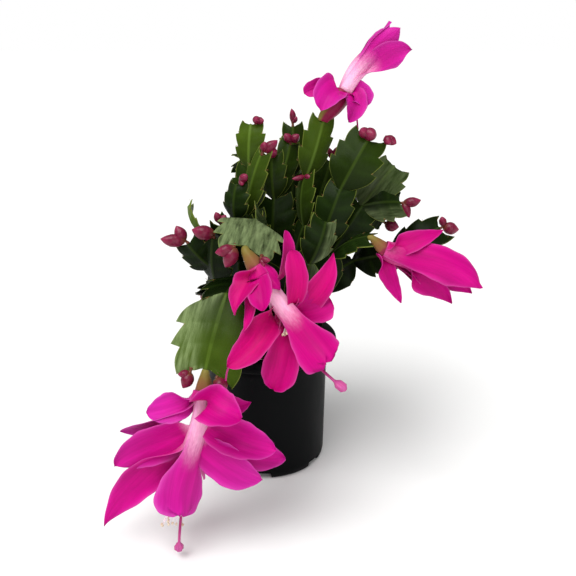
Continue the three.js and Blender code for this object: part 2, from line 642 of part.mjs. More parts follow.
place("pot", pot(), "pot");
place("soil", soil([...stems.values()].map(({ root }) => root)), "soil");
for (const [name, grown] of stems) place(`stem_${name}`, stem(grown), "leaf");
for (const [name, bloom] of Object.entries(FLOWERS)) {
  const { seedCase, corolla } = flower(bloom, stems.get(bloom.stem).blades[bloom.segment - 1]);
  place(`${name}_ovary`, seedCase, "ovary");
  place(`${name}_corolla`, corolla, "petal");
}
clusters.forEach(([name, segment, across, buds], i) => {
  const number = String(i + 1).padStart(2, "0");
  place(`buds_${number}_${name}`, budCluster(stems.get(name).blades[segment - 1], across, buds), "bud");
});

export default plant;
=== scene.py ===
"""A potted Christmas cactus in bloom: a black nursery pot of compost, stems of flat toothed segments, four
flowers and clusters of buds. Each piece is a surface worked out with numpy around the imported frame."""

import math

import bpy
import numpy as np
from bpy.props import FloatProperty, FloatVectorProperty, IntProperty, PointerProperty
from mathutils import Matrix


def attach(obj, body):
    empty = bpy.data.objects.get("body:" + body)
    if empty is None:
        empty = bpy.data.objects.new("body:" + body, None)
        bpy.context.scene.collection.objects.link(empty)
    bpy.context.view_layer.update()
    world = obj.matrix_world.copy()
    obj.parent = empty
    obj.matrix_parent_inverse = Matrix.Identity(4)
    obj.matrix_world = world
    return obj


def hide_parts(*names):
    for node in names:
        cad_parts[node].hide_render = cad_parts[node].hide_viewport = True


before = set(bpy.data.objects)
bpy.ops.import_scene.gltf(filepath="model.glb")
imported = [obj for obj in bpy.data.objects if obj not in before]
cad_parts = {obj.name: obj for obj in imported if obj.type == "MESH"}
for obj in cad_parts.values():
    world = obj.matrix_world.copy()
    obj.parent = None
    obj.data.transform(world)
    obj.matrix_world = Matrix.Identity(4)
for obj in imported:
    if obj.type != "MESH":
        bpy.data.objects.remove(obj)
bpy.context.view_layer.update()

bl_info = {
    "name": "Christmas Cactus",
    "version": (1, 0, 0),
    "blender": (4, 5, 0),
    "location": "3D View > Sidebar > Cactus",
    "description": "Builds a potted Christmas cactus in bloom around its packed frame",
    "category": "Add Mesh",
}

MM = 0.001
# Where the random draws of each kind of piece begin. The stems' are that far apart.
SEEDS = {
    "stem": 1000, "bristles": 400, "bud": 5000, "shoot": 6000, "petal": 7000, "stamens": 9000, "soil": 41,
    "crumbs": 31, "grain": 600,
}


def linear(code):
    """An sRGB colour such as "#36561f" as linear red, green and blue."""
    values = [int(code[i : i + 2], 16) / 255 for i in (1, 3, 5)]
    return tuple(v / 12.92 if v <= 0.04045 else ((v + 0.055) / 1.055) ** 2.4 for v in values)


def paint(code):
    """The same colour with an alpha of 1, as node sockets take it."""
    return (*linear(code), 1.0)


# ---- settings a user would change --------------------------------------------------------------------
def length(name, description, default):
    """A length that a user may change."""
    return FloatProperty(name=name, description=description, default=default, unit="LENGTH", precision=5)


def swatch(name, description, code):
    """A colour that a user may change."""
    return FloatVectorProperty(
        name=name, description=description, default=linear(code), subtype="COLOR", min=0, max=1
    )


class PotSettings(bpy.types.PropertyGroup):
    height: length("Height", "Height of the pot", 69 * MM)
    lip_radius: length("Lip radius", "Outside of the rolled lip", 37.5 * MM)
    top_radius: length("Top radius", "Outside of the wall just under the lip", 32.6 * MM)
    foot_radius: length("Foot radius", "Outside of the foot", 30.6 * MM)
    wall: length("Wall", "Thickness of the wall", 1.2 * MM)
    shade: swatch("Plastic", "Colour of the pot", "#040506")


class CompostSettings(bpy.types.PropertyGroup):
    level: length("Level", "Height of the compost in the pot", 58 * MM)
    crumb: length("Crumb", "Height of its lumps", 1.1 * MM)
    perlite: IntProperty(name="Perlite", description="How many white grains show", default=90, min=0, max=400)
    bark: IntProperty(name="Bark", description="How many chips of bark show", default=130, min=0, max=400)
    shade: swatch("Peat", "Colour of the compost", "#2a1d14")


class StemSettings(bpy.types.PropertyGroup):
    margin: length("Margin", "Thickness of a segment at its margin", 0.7 * MM)
    body: length("Body", "Thickness of a segment beside its midrib", 1.5 * MM)
    ridge: length("Ridge", "How much the midrib adds to that", 0.9 * MM)
    young: swatch("Young", "Colour of a new segment", "#52691c")
    grown: swatch("Grown", "Colour of a full-grown segment", "#152307")
    # the old colour is partly painted shade: its near-black stands in for the shade of the plant's inside
    old: swatch("Old", "Colour of an old segment", "#030802")
    rim: swatch("Rim", "Colour of the thin margin", "#727e34")


class FlowerSettings(bpy.types.PropertyGroup):
    margin: length("Margin", "Thickness of a petal at its margin", 0.35 * MM)
    body: length("Body", "Thickness of a petal along its middle", 0.8 * MM)
    stamens: IntProperty(name="Stamens", description="How many stamens an open flower has", default=34, min=0)
    petal: swatch("Petal", "Colour of the petals", "#c00880")
    throat: swatch("Throat", "Colour of the tube and of the petals' roots", "#ffc4e2")
    ovary: swatch("Ovary", "Colour of the ovary", "#7e6232")


class BudSettings(bpy.types.PropertyGroup):
    shade: swatch("Bud", "Colour of the closed buds", "#6c0e30")
    tip: swatch("Tip", "Colour of a bud's tip", "#8b2248")
    heel: swatch("Heel", "Colour of a bud's root", "#6b3a24")


class StageSettings(bpy.types.PropertyGroup):
    floor: length("Floor", "Width of the floor", 60.0)
    shade: swatch("Floor", "Colour of the floor", "#fdfdfc")
    key: FloatProperty(name="Key", description="Strength of the large main light", default=3.0, min=0)
    fill: FloatProperty(name="Fill", description="Power of the light from the front", default=1.5, min=0)
    sky: FloatProperty(name="Sky", description="Strength of the light all round", default=0.3, min=0)


# ---- curves and vectors ------------------------------------------------------------------------------
def vec(*values):
    """A vector of plain numbers."""
    return np.array(values, float)


def unit(vectors):
    """The same directions at a length of 1."""
    return vectors / np.linalg.norm(vectors, axis=-1, keepdims=True)


def square_to(along, hint):
    """What is left of hint once its part along the unit vectors is taken away, as unit vectors."""
    return unit(hint - np.sum(hint * along, -1, keepdims=True) * along)


def turned(vector, axis, angle):
    """A vector turned about a unit axis: its part along the axis stays, and the rest goes round."""
    along = axis * np.dot(axis, vector)
    rest = vector - along
    return along + rest * math.cos(angle) + np.cross(axis, rest) * math.sin(angle)


def smooth(knots, s):
    """A curve through (place, value) knots, read at s: cubic pieces that share their slope at each knot."""
    x, y = np.array(knots, float).T
    slope = np.gradient(y, x)
    i = np.clip(np.searchsorted(x, s, side="right") - 1, 0, len(x) - 2)
    h = x[i + 1] - x[i]
    t = np.clip((s - x[i]) / h, 0, 1)
    rise = t * t * (3 - 2 * t)
    return y[i] * (1 - rise) + y[i + 1] * rise + h * t * (1 - t) * ((1 - t) * slope[i] - t * slope[i + 1])


def step(low, high, value):
    """0 below low, 1 above high, and an S-curve between them."""
    t = np.clip((value - low) / (high - low), 0, 1)
    return t * t * (3 - 2 * t)


def arc_point(a, b, c, s):
    """The quadratic curve from a to c that heads for b: they are weighed by (1-s)^2, s^2 and 2s(1-s)."""
    return (1 - s) ** 2 * a + 2 * s * (1 - s) * b + s**2 * c


def arc_way(a, b, c, s):
    """The direction of that curve."""
    return unit((1 - s) * (b - a) + s * (c - b))


def circle(count):
    """As many equal angles, once round."""
    return 2 * math.pi * np.arange(count) / count


ASIDE = vec(0.2, 1, 0.1)  # a way that no thread or tube runs, from which turns are counted


class Waves:
    """A smooth random height for any points: the sum of sine waves that run in random directions."""

    def __init__(self, seed, longest, shortest, count=36):
        draw = np.random.default_rng(seed)
        lengths = np.geomspace(longest, shortest, count)
        self.ways = unit(draw.normal(size=(count, 3))) * (2 * math.pi / lengths)[:, None]
        self.starts = draw.uniform(0, 2 * math.pi, count)
        self.heights = lengths / lengths.sum() * math.sqrt(count)

    def __call__(self, points):
        return np.sin(points @ self.ways.T + self.starts) @ self.heights


# ---- surfaces ----------------------------------------------------------------------------------------
class Shell:
    """A closed surface: its points, its four-sided and three-sided faces, and named values at each point."""

    def __init__(self, points, quads, tris, tones):
        self.points, self.tones = points, tones
        a, b, c, d = (points[quads[:, i]] for i in range(4))
        e, f, g = (points[tris[:, i]] for i in range(3))
        volume = np.sum(np.cross(a, b) * c) + np.sum(np.cross(a, c) * d) + np.sum(np.cross(e, f) * g)
        outside_in = volume < 0
        self.quads = quads[:, ::-1] if outside_in else quads
        self.tris = tris[:, ::-1] if outside_in else tris


def loft(rings, **tones):
    """The closed surface through rings of points, which are an array of rows by places round the ring:
    neighbouring rings are joined by four-sided faces, and each end by a fan round its middle."""
    rows, around = rings.shape[:2]
    here = np.arange(rows * around).reshape(rows, around)
    beside = np.roll(here, -1, 1)
    quads = np.stack([here[:-1], beside[:-1], beside[1:], here[1:]], -1).reshape(-1, 4)
    start, end = np.full(around, rows * around), np.full(around, rows * around + 1)
    tris = np.concatenate(
        [np.stack([start, beside[0], here[0]], -1), np.stack([end, here[-1], beside[-1]], -1)]
    )
    points = np.concatenate([rings.reshape(-1, 3), [rings[0].mean(0), rings[-1].mean(0)]])
    spread = {}
    for name, value in tones.items():
        value = np.broadcast_to(value, (rows, around))
        spread[name] = np.concatenate([value.ravel(), [value[0].mean(), value[-1].mean()]])
    return Shell(points, quads, tris, spread)


def slab_columns(around, middle):
    """The places round a blade's section: how far across, from -1 to 1, which face, and how round.
    They are cosines of equal angles, drawn together near the margins, and near the middle as well for a
    low value of middle."""
    turn = circle(around) + math.pi / around
    c = np.cos(turn) / math.cos(math.pi / around)
    return c * (middle + (1 - middle) * c * c), np.sign(np.sin(turn)), np.abs(np.sin(turn)) ** 0.35


def rings_round(path, way, radii, around):
    """Circles of the given radii about the points of a path, square to its way: rows by places round."""
    side = square_to(way, ASIDE)
    over = np.cross(way, side)
    turn = circle(around)
    out = side[:, None] * np.cos(turn)[:, None] + over[:, None] * np.sin(turn)[:, None]
    return path[:, None] + out * radii[..., None]


def pipe(path, radii, around, **tones):
    """A tube with closed ends: circles of the given radii, square to the path. radii is one value a row or
    an array of rows by places round."""
    radii = np.asarray(radii, float)
    radii = radii[:, None] if radii.ndim == 1 else radii
    return loft(rings_round(path, unit(np.gradient(path, axis=0)), radii, around), **tones)


LUMPINESS = 0.16  # how much a grain's radius varies


def lump(centre, size, seed, rows=7, around=9):
    """A rough grain: an ellipsoid by height and angle, whose radius is varied by a sum of waves."""
    t = ((np.arange(rows) + 0.5) / rows * math.pi)[:, None]
    turn = circle(around)
    out = np.stack([np.sin(t) * np.cos(turn), np.sin(t) * np.sin(turn), np.cos(t) + 0 * turn], -1)
    rough = 1 + LUMPINESS * Waves(seed, 3.0, 0.8, 8)(out + seed % 97)
    return loft(centre + out * rough[..., None] * size)


def add_piece(name, shells, material, slot, *nodes):
    """One object from shells whose points are in millimetres. It rides on the root body and stands for the
    given CAD nodes."""
    mesh = bpy.data.meshes.new(name)
    starts = np.cumsum([0] + [len(s.points) for s in shells])
    faces = [q.tolist() for q in (s.quads + n for s, n in zip(shells, starts))]
    faces += [t.tolist() for t in (s.tris + n for s, n in zip(shells, starts))]
    mesh.from_pydata(np.concatenate([s.points for s in shells]) * MM, [], [f for part in faces for f in part])
    for tone in shells[0].tones:
        values = np.concatenate([s.tones[tone] for s in shells]).astype(np.float32)
        mesh.attributes.new(tone, "FLOAT", "POINT").data.foreach_set("value", values)
    mesh.materials.append(material)
    mesh.shade_smooth()
    piece = bpy.data.objects.new(name, mesh)
    bpy.context.scene.collection.objects.link(piece)
    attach(piece, "root")
    if nodes:
        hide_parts(*nodes)
    return piece


# ---- materials ---------------------------------------------------------------------------------------
# Colours that only the materials use. Patterns that follow a blade lie on its own millimetres, across and
# along, and the others on Object coordinates in metres.
CORK = "#5d4a33"
VEIN = "#3f5a1e"
MIDRIB = "#6c8834"
# painted sheen: the pale grey-green painted where the segments would reflect the light
SHEEN_GREEN = "#9db07a"
RED_PETAL = "#b80560"
LILAC_PETAL = "#c433ae"
PETAL_RIM = "#e07ac0"
OLIVE = "#7c7a38"
TAN_RED = "#87553c"
OVARY_TOP = "#8f2b48"
CRIMSON = "#86123f"
SCALE_EDGE = "#7a1238"
SCUFFED = "#0a0c0d"
DARK_PEAT = "#120b07"
PEAT_FIBRE = "#5a4029"
BOARD_SHADE = "#f9f9f8"
# The colours of each kind of thread at its root and its tip.
THREADS = {
    "style_tissue": ("#a8126c", "#c24f92"),
    "filament_tissue": ("#f6e3ec", "#f7b9d6"),
    "areole_bristle": ("#8a6a3c", "#b89a66"),
}
# The light and the dark colour of each kind of grain, and its pattern's scale.
GRAIN_LOOKS = {
    "perlite": ("#f1efe8", "#cfcabd", 900.0),  # 1.1 mm
    "bark_chips": ("#6b4a2e", "#2b1b10", 700.0),  # 1.4 mm
    "pollen_sacs": ("#efe3c8", "#b98f7a", 2500.0),  # 0.4 mm
}


def add_node(tree, kind, inputs=(), out=0, **settings):
    """Adds a node with its settings and gives one of its outputs. The inputs are in the order of its
    sockets, or named or numbered, and each is a value or the output that feeds it."""
    node = tree.nodes.new("ShaderNode" + kind)
    for key, value in settings.items():
        setattr(node, key, value)
    for key, value in inputs.items() if isinstance(inputs, dict) else enumerate(inputs):
        if isinstance(value, bpy.types.NodeSocket):
            tree.links.new(value, node.inputs[key])
        else:
            node.inputs[key].default_value = value
    return node.outputs[out]


def new_material(name, **finish):
    """A material with one Principled shader, whose uniform values are set on its own sockets."""
    material = bpy.data.materials.new(name)
    material.use_nodes = True
    shader = material.node_tree.nodes["Principled BSDF"]
    for key, value in finish.items():
        shader.inputs[key.replace("_", " ")].default_value = value
    return material, material.node_tree, shader


def feed(tree, shader, **outputs):
    """Links outputs to the shader's sockets of the same names."""
    for key, value in outputs.items():
        tree.links.new(value, shader.inputs[key.replace("_", " ")])


def stops(colour_ramp, *colours):
    """Sets the stops of a ramp, given by its output, from (place, colour) pairs."""
    ramp = colour_ramp.node.color_ramp
    while len(ramp.elements) < len(colours):
        ramp.elements.new(0.5)
    for element, (place, value) in zip(ramp.elements, colours):
        element.position = place
        element.color = value
    return colour_ramp


def shaded_along(tree, scale, shift, detail, *colours):
    """Colours from a piece's root to its tip, whose borders noise of that scale moves by the share shift.
    Gives the colour and the noise."""
    along = add_node(tree, "Attribute", out="Fac", attribute_name="along")
    where = add_node(tree, "TexCoord", out="Object")
    noise = add_node(tree, "TexNoise", {"Vector": where, "Scale": scale, "Detail": detail})
    uneven = add_node(tree, "Math", (noise, shift, along), operation="MULTIPLY_ADD")
    return stops(add_node(tree, "ValToRGB", (uneven,)), *colours), noise


def waxy_cuticle(s):
    """Succulent stem tissue under its grown waxy cuticle, corky at the woody foot."""
    # To the eye: deep green with a satin gloss, each segment edged by a thin yellow-green line and split by
    # a paler midrib with faint veins. New segments are fresher and old ones darker, and the near-black of the
    # oldest, lowest ones is partly painted shade of the plant's inside; each segment's darker base is painted
    # shade too. On the segments that face the light a painted grey-green sheen, standing in for the light's
    # reflection, lies in long streaks.
    material, tree, shader = new_material(
        "waxy_cuticle", IOR=1.42, Specular_IOR_Level=0.055, Coat_Weight=0.02, Coat_Roughness=0.14
    )
    age, rim, rib, vein, bloom, across, along, share = (
        add_node(tree, "Attribute", out="Fac", attribute_name=name)
        for name in ("age", "rim", "rib", "vein", "bloom", "across", "along", "share")
    )
    where = add_node(tree, "TexCoord", out="Object")
    place = add_node(tree, "CombineXYZ", (across, along))
    fibres = add_node(tree, "Mapping", {"Vector": place, "Scale": (0.9, 0.16, 1)})  # 1 mm wide, 6 mm long
    grain = add_node(tree, "TexNoise", {"Vector": fibres, "Scale": 1.0, "Detail": 4.0, "Roughness": 0.6})
    patches = add_node(tree, "TexNoise", {"Vector": where, "Scale": 110.0, "Detail": 2.0})  # 9 mm
    cells = add_node(tree, "TexNoise", {"Vector": where, "Scale": 2200.0, "Detail": 1.0})  # 0.45 mm
    # the long streaks of the painted sheen follow this noise
    brushed = add_node(tree, "Mapping", {"Vector": place, "Scale": (0.35, 0.05, 1)})  # 3 mm by 20 mm
    worn = add_node(tree, "TexNoise", {"Vector": brushed, "Scale": 1.0, "Detail": 5.0, "Roughness": 0.65})

    # the ramp's dark old end is partly painted shade, as the lowest segments stand inside the plant
    base = stops(
        add_node(tree, "ValToRGB", (age,)),
        (0.0, (*s.young, 1)),
        (0.3, (*s.grown, 1)),
        (0.75, (*s.old, 1)),
        (1.0, paint(CORK)),
    )
    dark, light = (0.55, 0.6, 0.5, 1), (1.35, 1.35, 1.25, 1)
    mottle = add_node(tree, "Mix", {0: patches, 6: dark, 7: light}, 2, data_type="RGBA")
    # painted shade: each segment's base, where the others round it would shade it, is darker
    base_shade = add_node(tree, "MapRange", (share, 0.0, 0.75, 0.5, 1.12))  # a segment's base is darker
    shaded = add_node(tree, "VectorMath", {0: mottle, "Scale": base_shade}, operation="SCALE")
    colour = add_node(tree, "Mix", {0: 1.0, 6: base, 7: shaded}, 2, data_type="RGBA", blend_type="MULTIPLY")

    vein_part = add_node(tree, "Math", (vein, 0.07), operation="MULTIPLY")
    on_rib = add_node(tree, "MapRange", (rib, 0.1, 1.1, 1.0, 0.0), interpolation_type="SMOOTHSTEP")
    rib_age = add_node(tree, "MapRange", (age, 0.15, 0.3, 0.42, 0.11))
    rib_part = add_node(tree, "Math", (on_rib, rib_age), operation="MULTIPLY")
    on_rim = add_node(tree, "MapRange", (rim, 0.1, 0.42, 1.2, 0.0), interpolation_type="SMOOTHSTEP")
    rim_age = add_node(tree, "MapRange", (age, 0.25, 0.7, 1.3, 0.25))
    rim_patch = add_node(tree, "Math", (on_rim, patches), operation="MULTIPLY")
    rim_part = add_node(tree, "Math", (rim_patch, rim_age), operation="MULTIPLY", use_clamp=True)
    # painted sheen: pale grey-green streaks that stand in for the light's reflection
    gleams = add_node(tree, "MapRange", (worn, 0.36, 0.66, 0.12, 0.95))
    sheen_part = add_node(tree, "Math", (bloom, gleams), operation="MULTIPLY")
    for part, over in (
        (vein_part, paint(VEIN)),
        (rib_part, paint(MIDRIB)),
        (rim_part, (*s.rim, 1)),
        (sheen_part, paint(SHEEN_GREEN)),
    ):
        colour = add_node(tree, "Mix", {0: part, 6: colour, 7: over}, 2, data_type="RGBA")
    rough = add_node(tree, "MapRange", (grain, 0.3, 0.7, 0.24, 0.36))
    relief = add_node(tree, "Math", (grain, 0.6, cells), operation="MULTIPLY_ADD")
    bump = add_node(tree, "Bump", {"Strength": 0.35, "Distance": 0.00025, "Height": relief})
    feed(tree, shader, Base_Color=colour, Roughness=rough, Normal=bump)
    return material


def petal_tissue(s):
    """The thin living tissue of petals and tube."""
    # To the eye: saturated magenta with a soft satin skin that light passes through a little, fading to
    # white-pink on the tube, with fine lengthwise veins, broad soft streaks, a few freckles where the two
    # colours meet and a paler margin.
    material, tree, shader = new_material(
        "petal_tissue", IOR=1.4, Specular_IOR_Level=0.09, Roughness=0.4, Sheen_Weight=0.01,
        Sheen_Roughness=0.4, Subsurface_Weight=0.12, Subsurface_Scale=0.0012,
        Subsurface_Radius=(1.0, 0.3, 0.8),
    )
    blush, across, along, tint, edge = (
        add_node(tree, "Attribute", out="Fac", attribute_name=name)
        for name in ("blush", "across", "along", "tint", "edge")
    )
    place = add_node(tree, "CombineXYZ", (across, along, tint))
    lines = add_node(tree, "Mapping", {"Vector": place, "Scale": (1.1, 0.07, 3)})  # 0.9 mm apart, 14 mm long
    veins = add_node(tree, "TexNoise", {"Vector": lines, "Scale": 1.0, "Detail": 3.0, "Roughness": 0.55})
    flow = add_node(tree, "Mapping", {"Vector": place, "Scale": (0.28, 0.05, 5)})  # 4 mm wide, 20 mm long
    streaks = add_node(tree, "TexNoise", {"Vector": flow, "Scale": 1.0, "Detail": 1.0})
    freckles = add_node(tree, "TexNoise", {"Vector": place, "Scale": 1.4, "Detail": 2.0})  # 0.7 mm

    full = stops(
        add_node(tree, "ValToRGB", (tint,)),
        (0.0, paint(RED_PETAL)),
        (0.5, (*s.petal, 1)),
        (1.0, paint(LILAC_PETAL)),
    )
    fine = add_node(tree, "MapRange", (veins, 0.35, 0.65, 0.93, 1.05))
    broad = add_node(tree, "MapRange", (streaks, 0.3, 0.7, 0.86, 1.1))
    both = add_node(tree, "Math", (fine, broad), operation="MULTIPLY")
    lined = add_node(tree, "VectorMath", {0: full, "Scale": both}, operation="SCALE")
    # The freckles move the blush most where it is half way, as blush times one less blush does.
    spread = add_node(tree, "MapRange", (freckles, 0.3, 0.7, -0.45, 0.45))
    left = add_node(tree, "Math", (1.0, blush), operation="SUBTRACT")
    half_way = add_node(tree, "Math", (left, blush), operation="MULTIPLY")
    flushed = add_node(tree, "Math", (half_way, spread, blush), operation="MULTIPLY_ADD", use_clamp=True)
    whole = add_node(tree, "Mix", {0: flushed, 6: (*s.throat, 1), 7: lined}, 2, data_type="RGBA")
    rim = add_node(tree, "Math", (edge, 0.3), operation="MULTIPLY")
    colour = add_node(tree, "Mix", {0: rim, 6: whole, 7: paint(PETAL_RIM)}, 2, data_type="RGBA")
    bump = add_node(tree, "Bump", {"Strength": 0.45, "Distance": 0.0003, "Height": veins})
    feed(tree, shader, Base_Color=colour, Normal=bump)
    return material


def fleshy_ovary(s):
    """The fleshy wall of the ovary."""
    # To the eye: a smooth, faintly glossy tan cone, olive where it leaves the stem and reddening under the
    # flower, or crimson all over on a flower in full light.
    material, tree, shader = new_material("fleshy_ovary", IOR=1.45, Roughness=0.42, Specular_IOR_Level=0.15)
    tans = (0.1, paint(OLIVE)), (0.45, (*s.ovary, 1)), (0.88, paint(TAN_RED)), (1.0, paint(OVARY_TOP))
    shades, noise = shaded_along(tree, 420.0, 0.3, 3.0, *tans)  # 2.4 mm
    flush = add_node(tree, "Attribute", out="Fac", attribute_name="flush")
    colour = add_node(tree, "Mix", {0: flush, 6: shades, 7: paint(CRIMSON)}, 2, data_type="RGBA")
    bump = add_node(tree, "Bump", {"Strength": 0.3, "Distance": 0.0003, "Height": noise})
    feed(tree, shader, Base_Color=colour, Normal=bump)
    return material


def bud_scales(s):
    """The tight, smooth outer scales of a closed bud."""
    # To the eye: dark crimson with a small wet highlight, brown at the stalk, pinker at the tip, and a
    # darker line where each scale ends.
    material, tree, shader = new_material(
        "bud_scales", IOR=1.45, Roughness=0.38, Specular_IOR_Level=0.3, Coat_Weight=0.08,
        Subsurface_Weight=0.1, Subsurface_Scale=0.001,
    )
    reds = (0.1, (*s.heel, 1)), (0.32, (*s.shade, 1)), (0.75, (*s.shade, 1)), (1.0, (*s.tip, 1))
    shades, noise = shaded_along(tree, 600.0, 0.22, 2.0, *reds)  # 1.7 mm
    scale = add_node(tree, "Attribute", out="Fac", attribute_name="scale")
    colour = add_node(tree, "Mix", {0: scale, 6: shades, 7: paint(SCALE_EDGE)}, 2, data_type="RGBA")
    bump = add_node(tree, "Bump", {"Strength": 0.2, "Distance": 0.0002, "Height": noise})
    feed(tree, shader, Base_Color=colour, Normal=bump)
    return material


def thread_tissue(name):
    """The smooth tissue of styles, filaments and bristles, by its name in THREADS."""
    # To the eye: fine threads that glow a little against the light and change colour towards their end.
    material, tree, shader = new_material(
        name, IOR=1.4, Roughness=0.4, Subsurface_Weight=0.1, Subsurface_Scale=0.0005
    )
    root, tip = (paint(code) for code in THREADS[name])
    shades, _ = shaded_along(tree, 900.0, 0.15, 2.0, (0.1, root), (0.8, root), (1.0, tip))  # 1.1 mm
    feed(tree, shader, Base_Color=shades)
    return material


def moulded_plastic(s):
    """Injection-moulded polypropylene, straight from a fine spark-eroded mould."""
    # To the eye: even satin black, whose highlight breaks up in faint upright flow marks and a fine grain.
    material, tree, shader = new_material("moulded_polypropylene", IOR=1.49, Specular_IOR_Level=0.06)
    where = add_node(tree, "TexCoord", out="Object")
    drawn = add_node(tree, "Mapping", {"Vector": where, "Scale": (1, 1, 0.25)})
    flow = add_node(
        tree, "TexNoise", {"Vector": drawn, "Scale": 130.0, "Detail": 5.0, "Roughness": 0.6}
    )  # 8 mm wide, 30 mm long
    grain = add_node(tree, "TexNoise", {"Vector": where, "Scale": 2600.0, "Detail": 1.0})  # 0.4 mm
    colour = add_node(tree, "Mix", {0: flow, 6: (*s.shade, 1), 7: paint(SCUFFED)}, 2, data_type="RGBA")
    rough = add_node(tree, "MapRange", (flow, 0.3, 0.7, 0.36, 0.55))
    bump = add_node(tree, "Bump", {"Strength": 0.25, "Distance": 0.0001, "Height": grain})
    feed(tree, shader, Base_Color=colour, Roughness=rough, Normal=bump)
    return material


def peat(s):
    """Damp milled peat."""
    # To the eye: dark brown crumbs and lighter fibres, quite without gloss.
    material, tree, shader = new_material("peat", Roughness=0.95, IOR=1.4)
    where = add_node(tree, "TexCoord", out="Object")
    crumbs = add_node(
        tree, "TexNoise", {"Vector": where, "Scale": 700.0, "Detail": 6.0, "Roughness": 0.7}
    )  # 1.4 mm
    colour = stops(
        add_node(tree, "ValToRGB", (crumbs,)),
        (0.3, paint(DARK_PEAT)),
        (0.55, (*s.shade, 1)),
        (0.75, paint(PEAT_FIBRE)),
    )
    bump = add_node(tree, "Bump", {"Strength": 0.8, "Distance": 0.0006, "Height": crumbs})
    feed(tree, shader, Base_Color=colour, Normal=bump)
    return material


def grain_material(name):
    """Small dry grains of one stuff, by its name in GRAIN_LOOKS."""
    # To the eye: matt grains whose colour is uneven over each one.
    light, dark, scale = GRAIN_LOOKS[name]
    material, tree, shader = new_material(name, Roughness=0.85, IOR=1.45)
    where = add_node(tree, "TexCoord", out="Object")
    noise = add_node(tree, "TexNoise", {"Vector": where, "Scale": scale, "Detail": 3.0})
    colour = stops(add_node(tree, "ValToRGB", (noise,)), (0.35, paint(dark)), (0.6, paint(light)))
    feed(tree, shader, Base_Color=colour)
    return material


def matt_board(s):
    """The matt painted board of the floor."""
    # To the eye: an even near-white with only a trace of unevenness, which shows soft shadows and no gloss.
    material, tree, shader = new_material("matt_board", Roughness=0.9, IOR=1.3)
    where = add_node(tree, "TexCoord", out="Object")
    noise = add_node(tree, "TexNoise", {"Vector": where, "Scale": 5.0, "Detail": 2.0})  # 200 mm
    colour = add_node(tree, "Mix", {0: noise, 6: (*s.shade, 1), 7: paint(BOARD_SHADE)}, 2, data_type="RGBA")
    feed(tree, shader, Base_Color=colour)
    return material


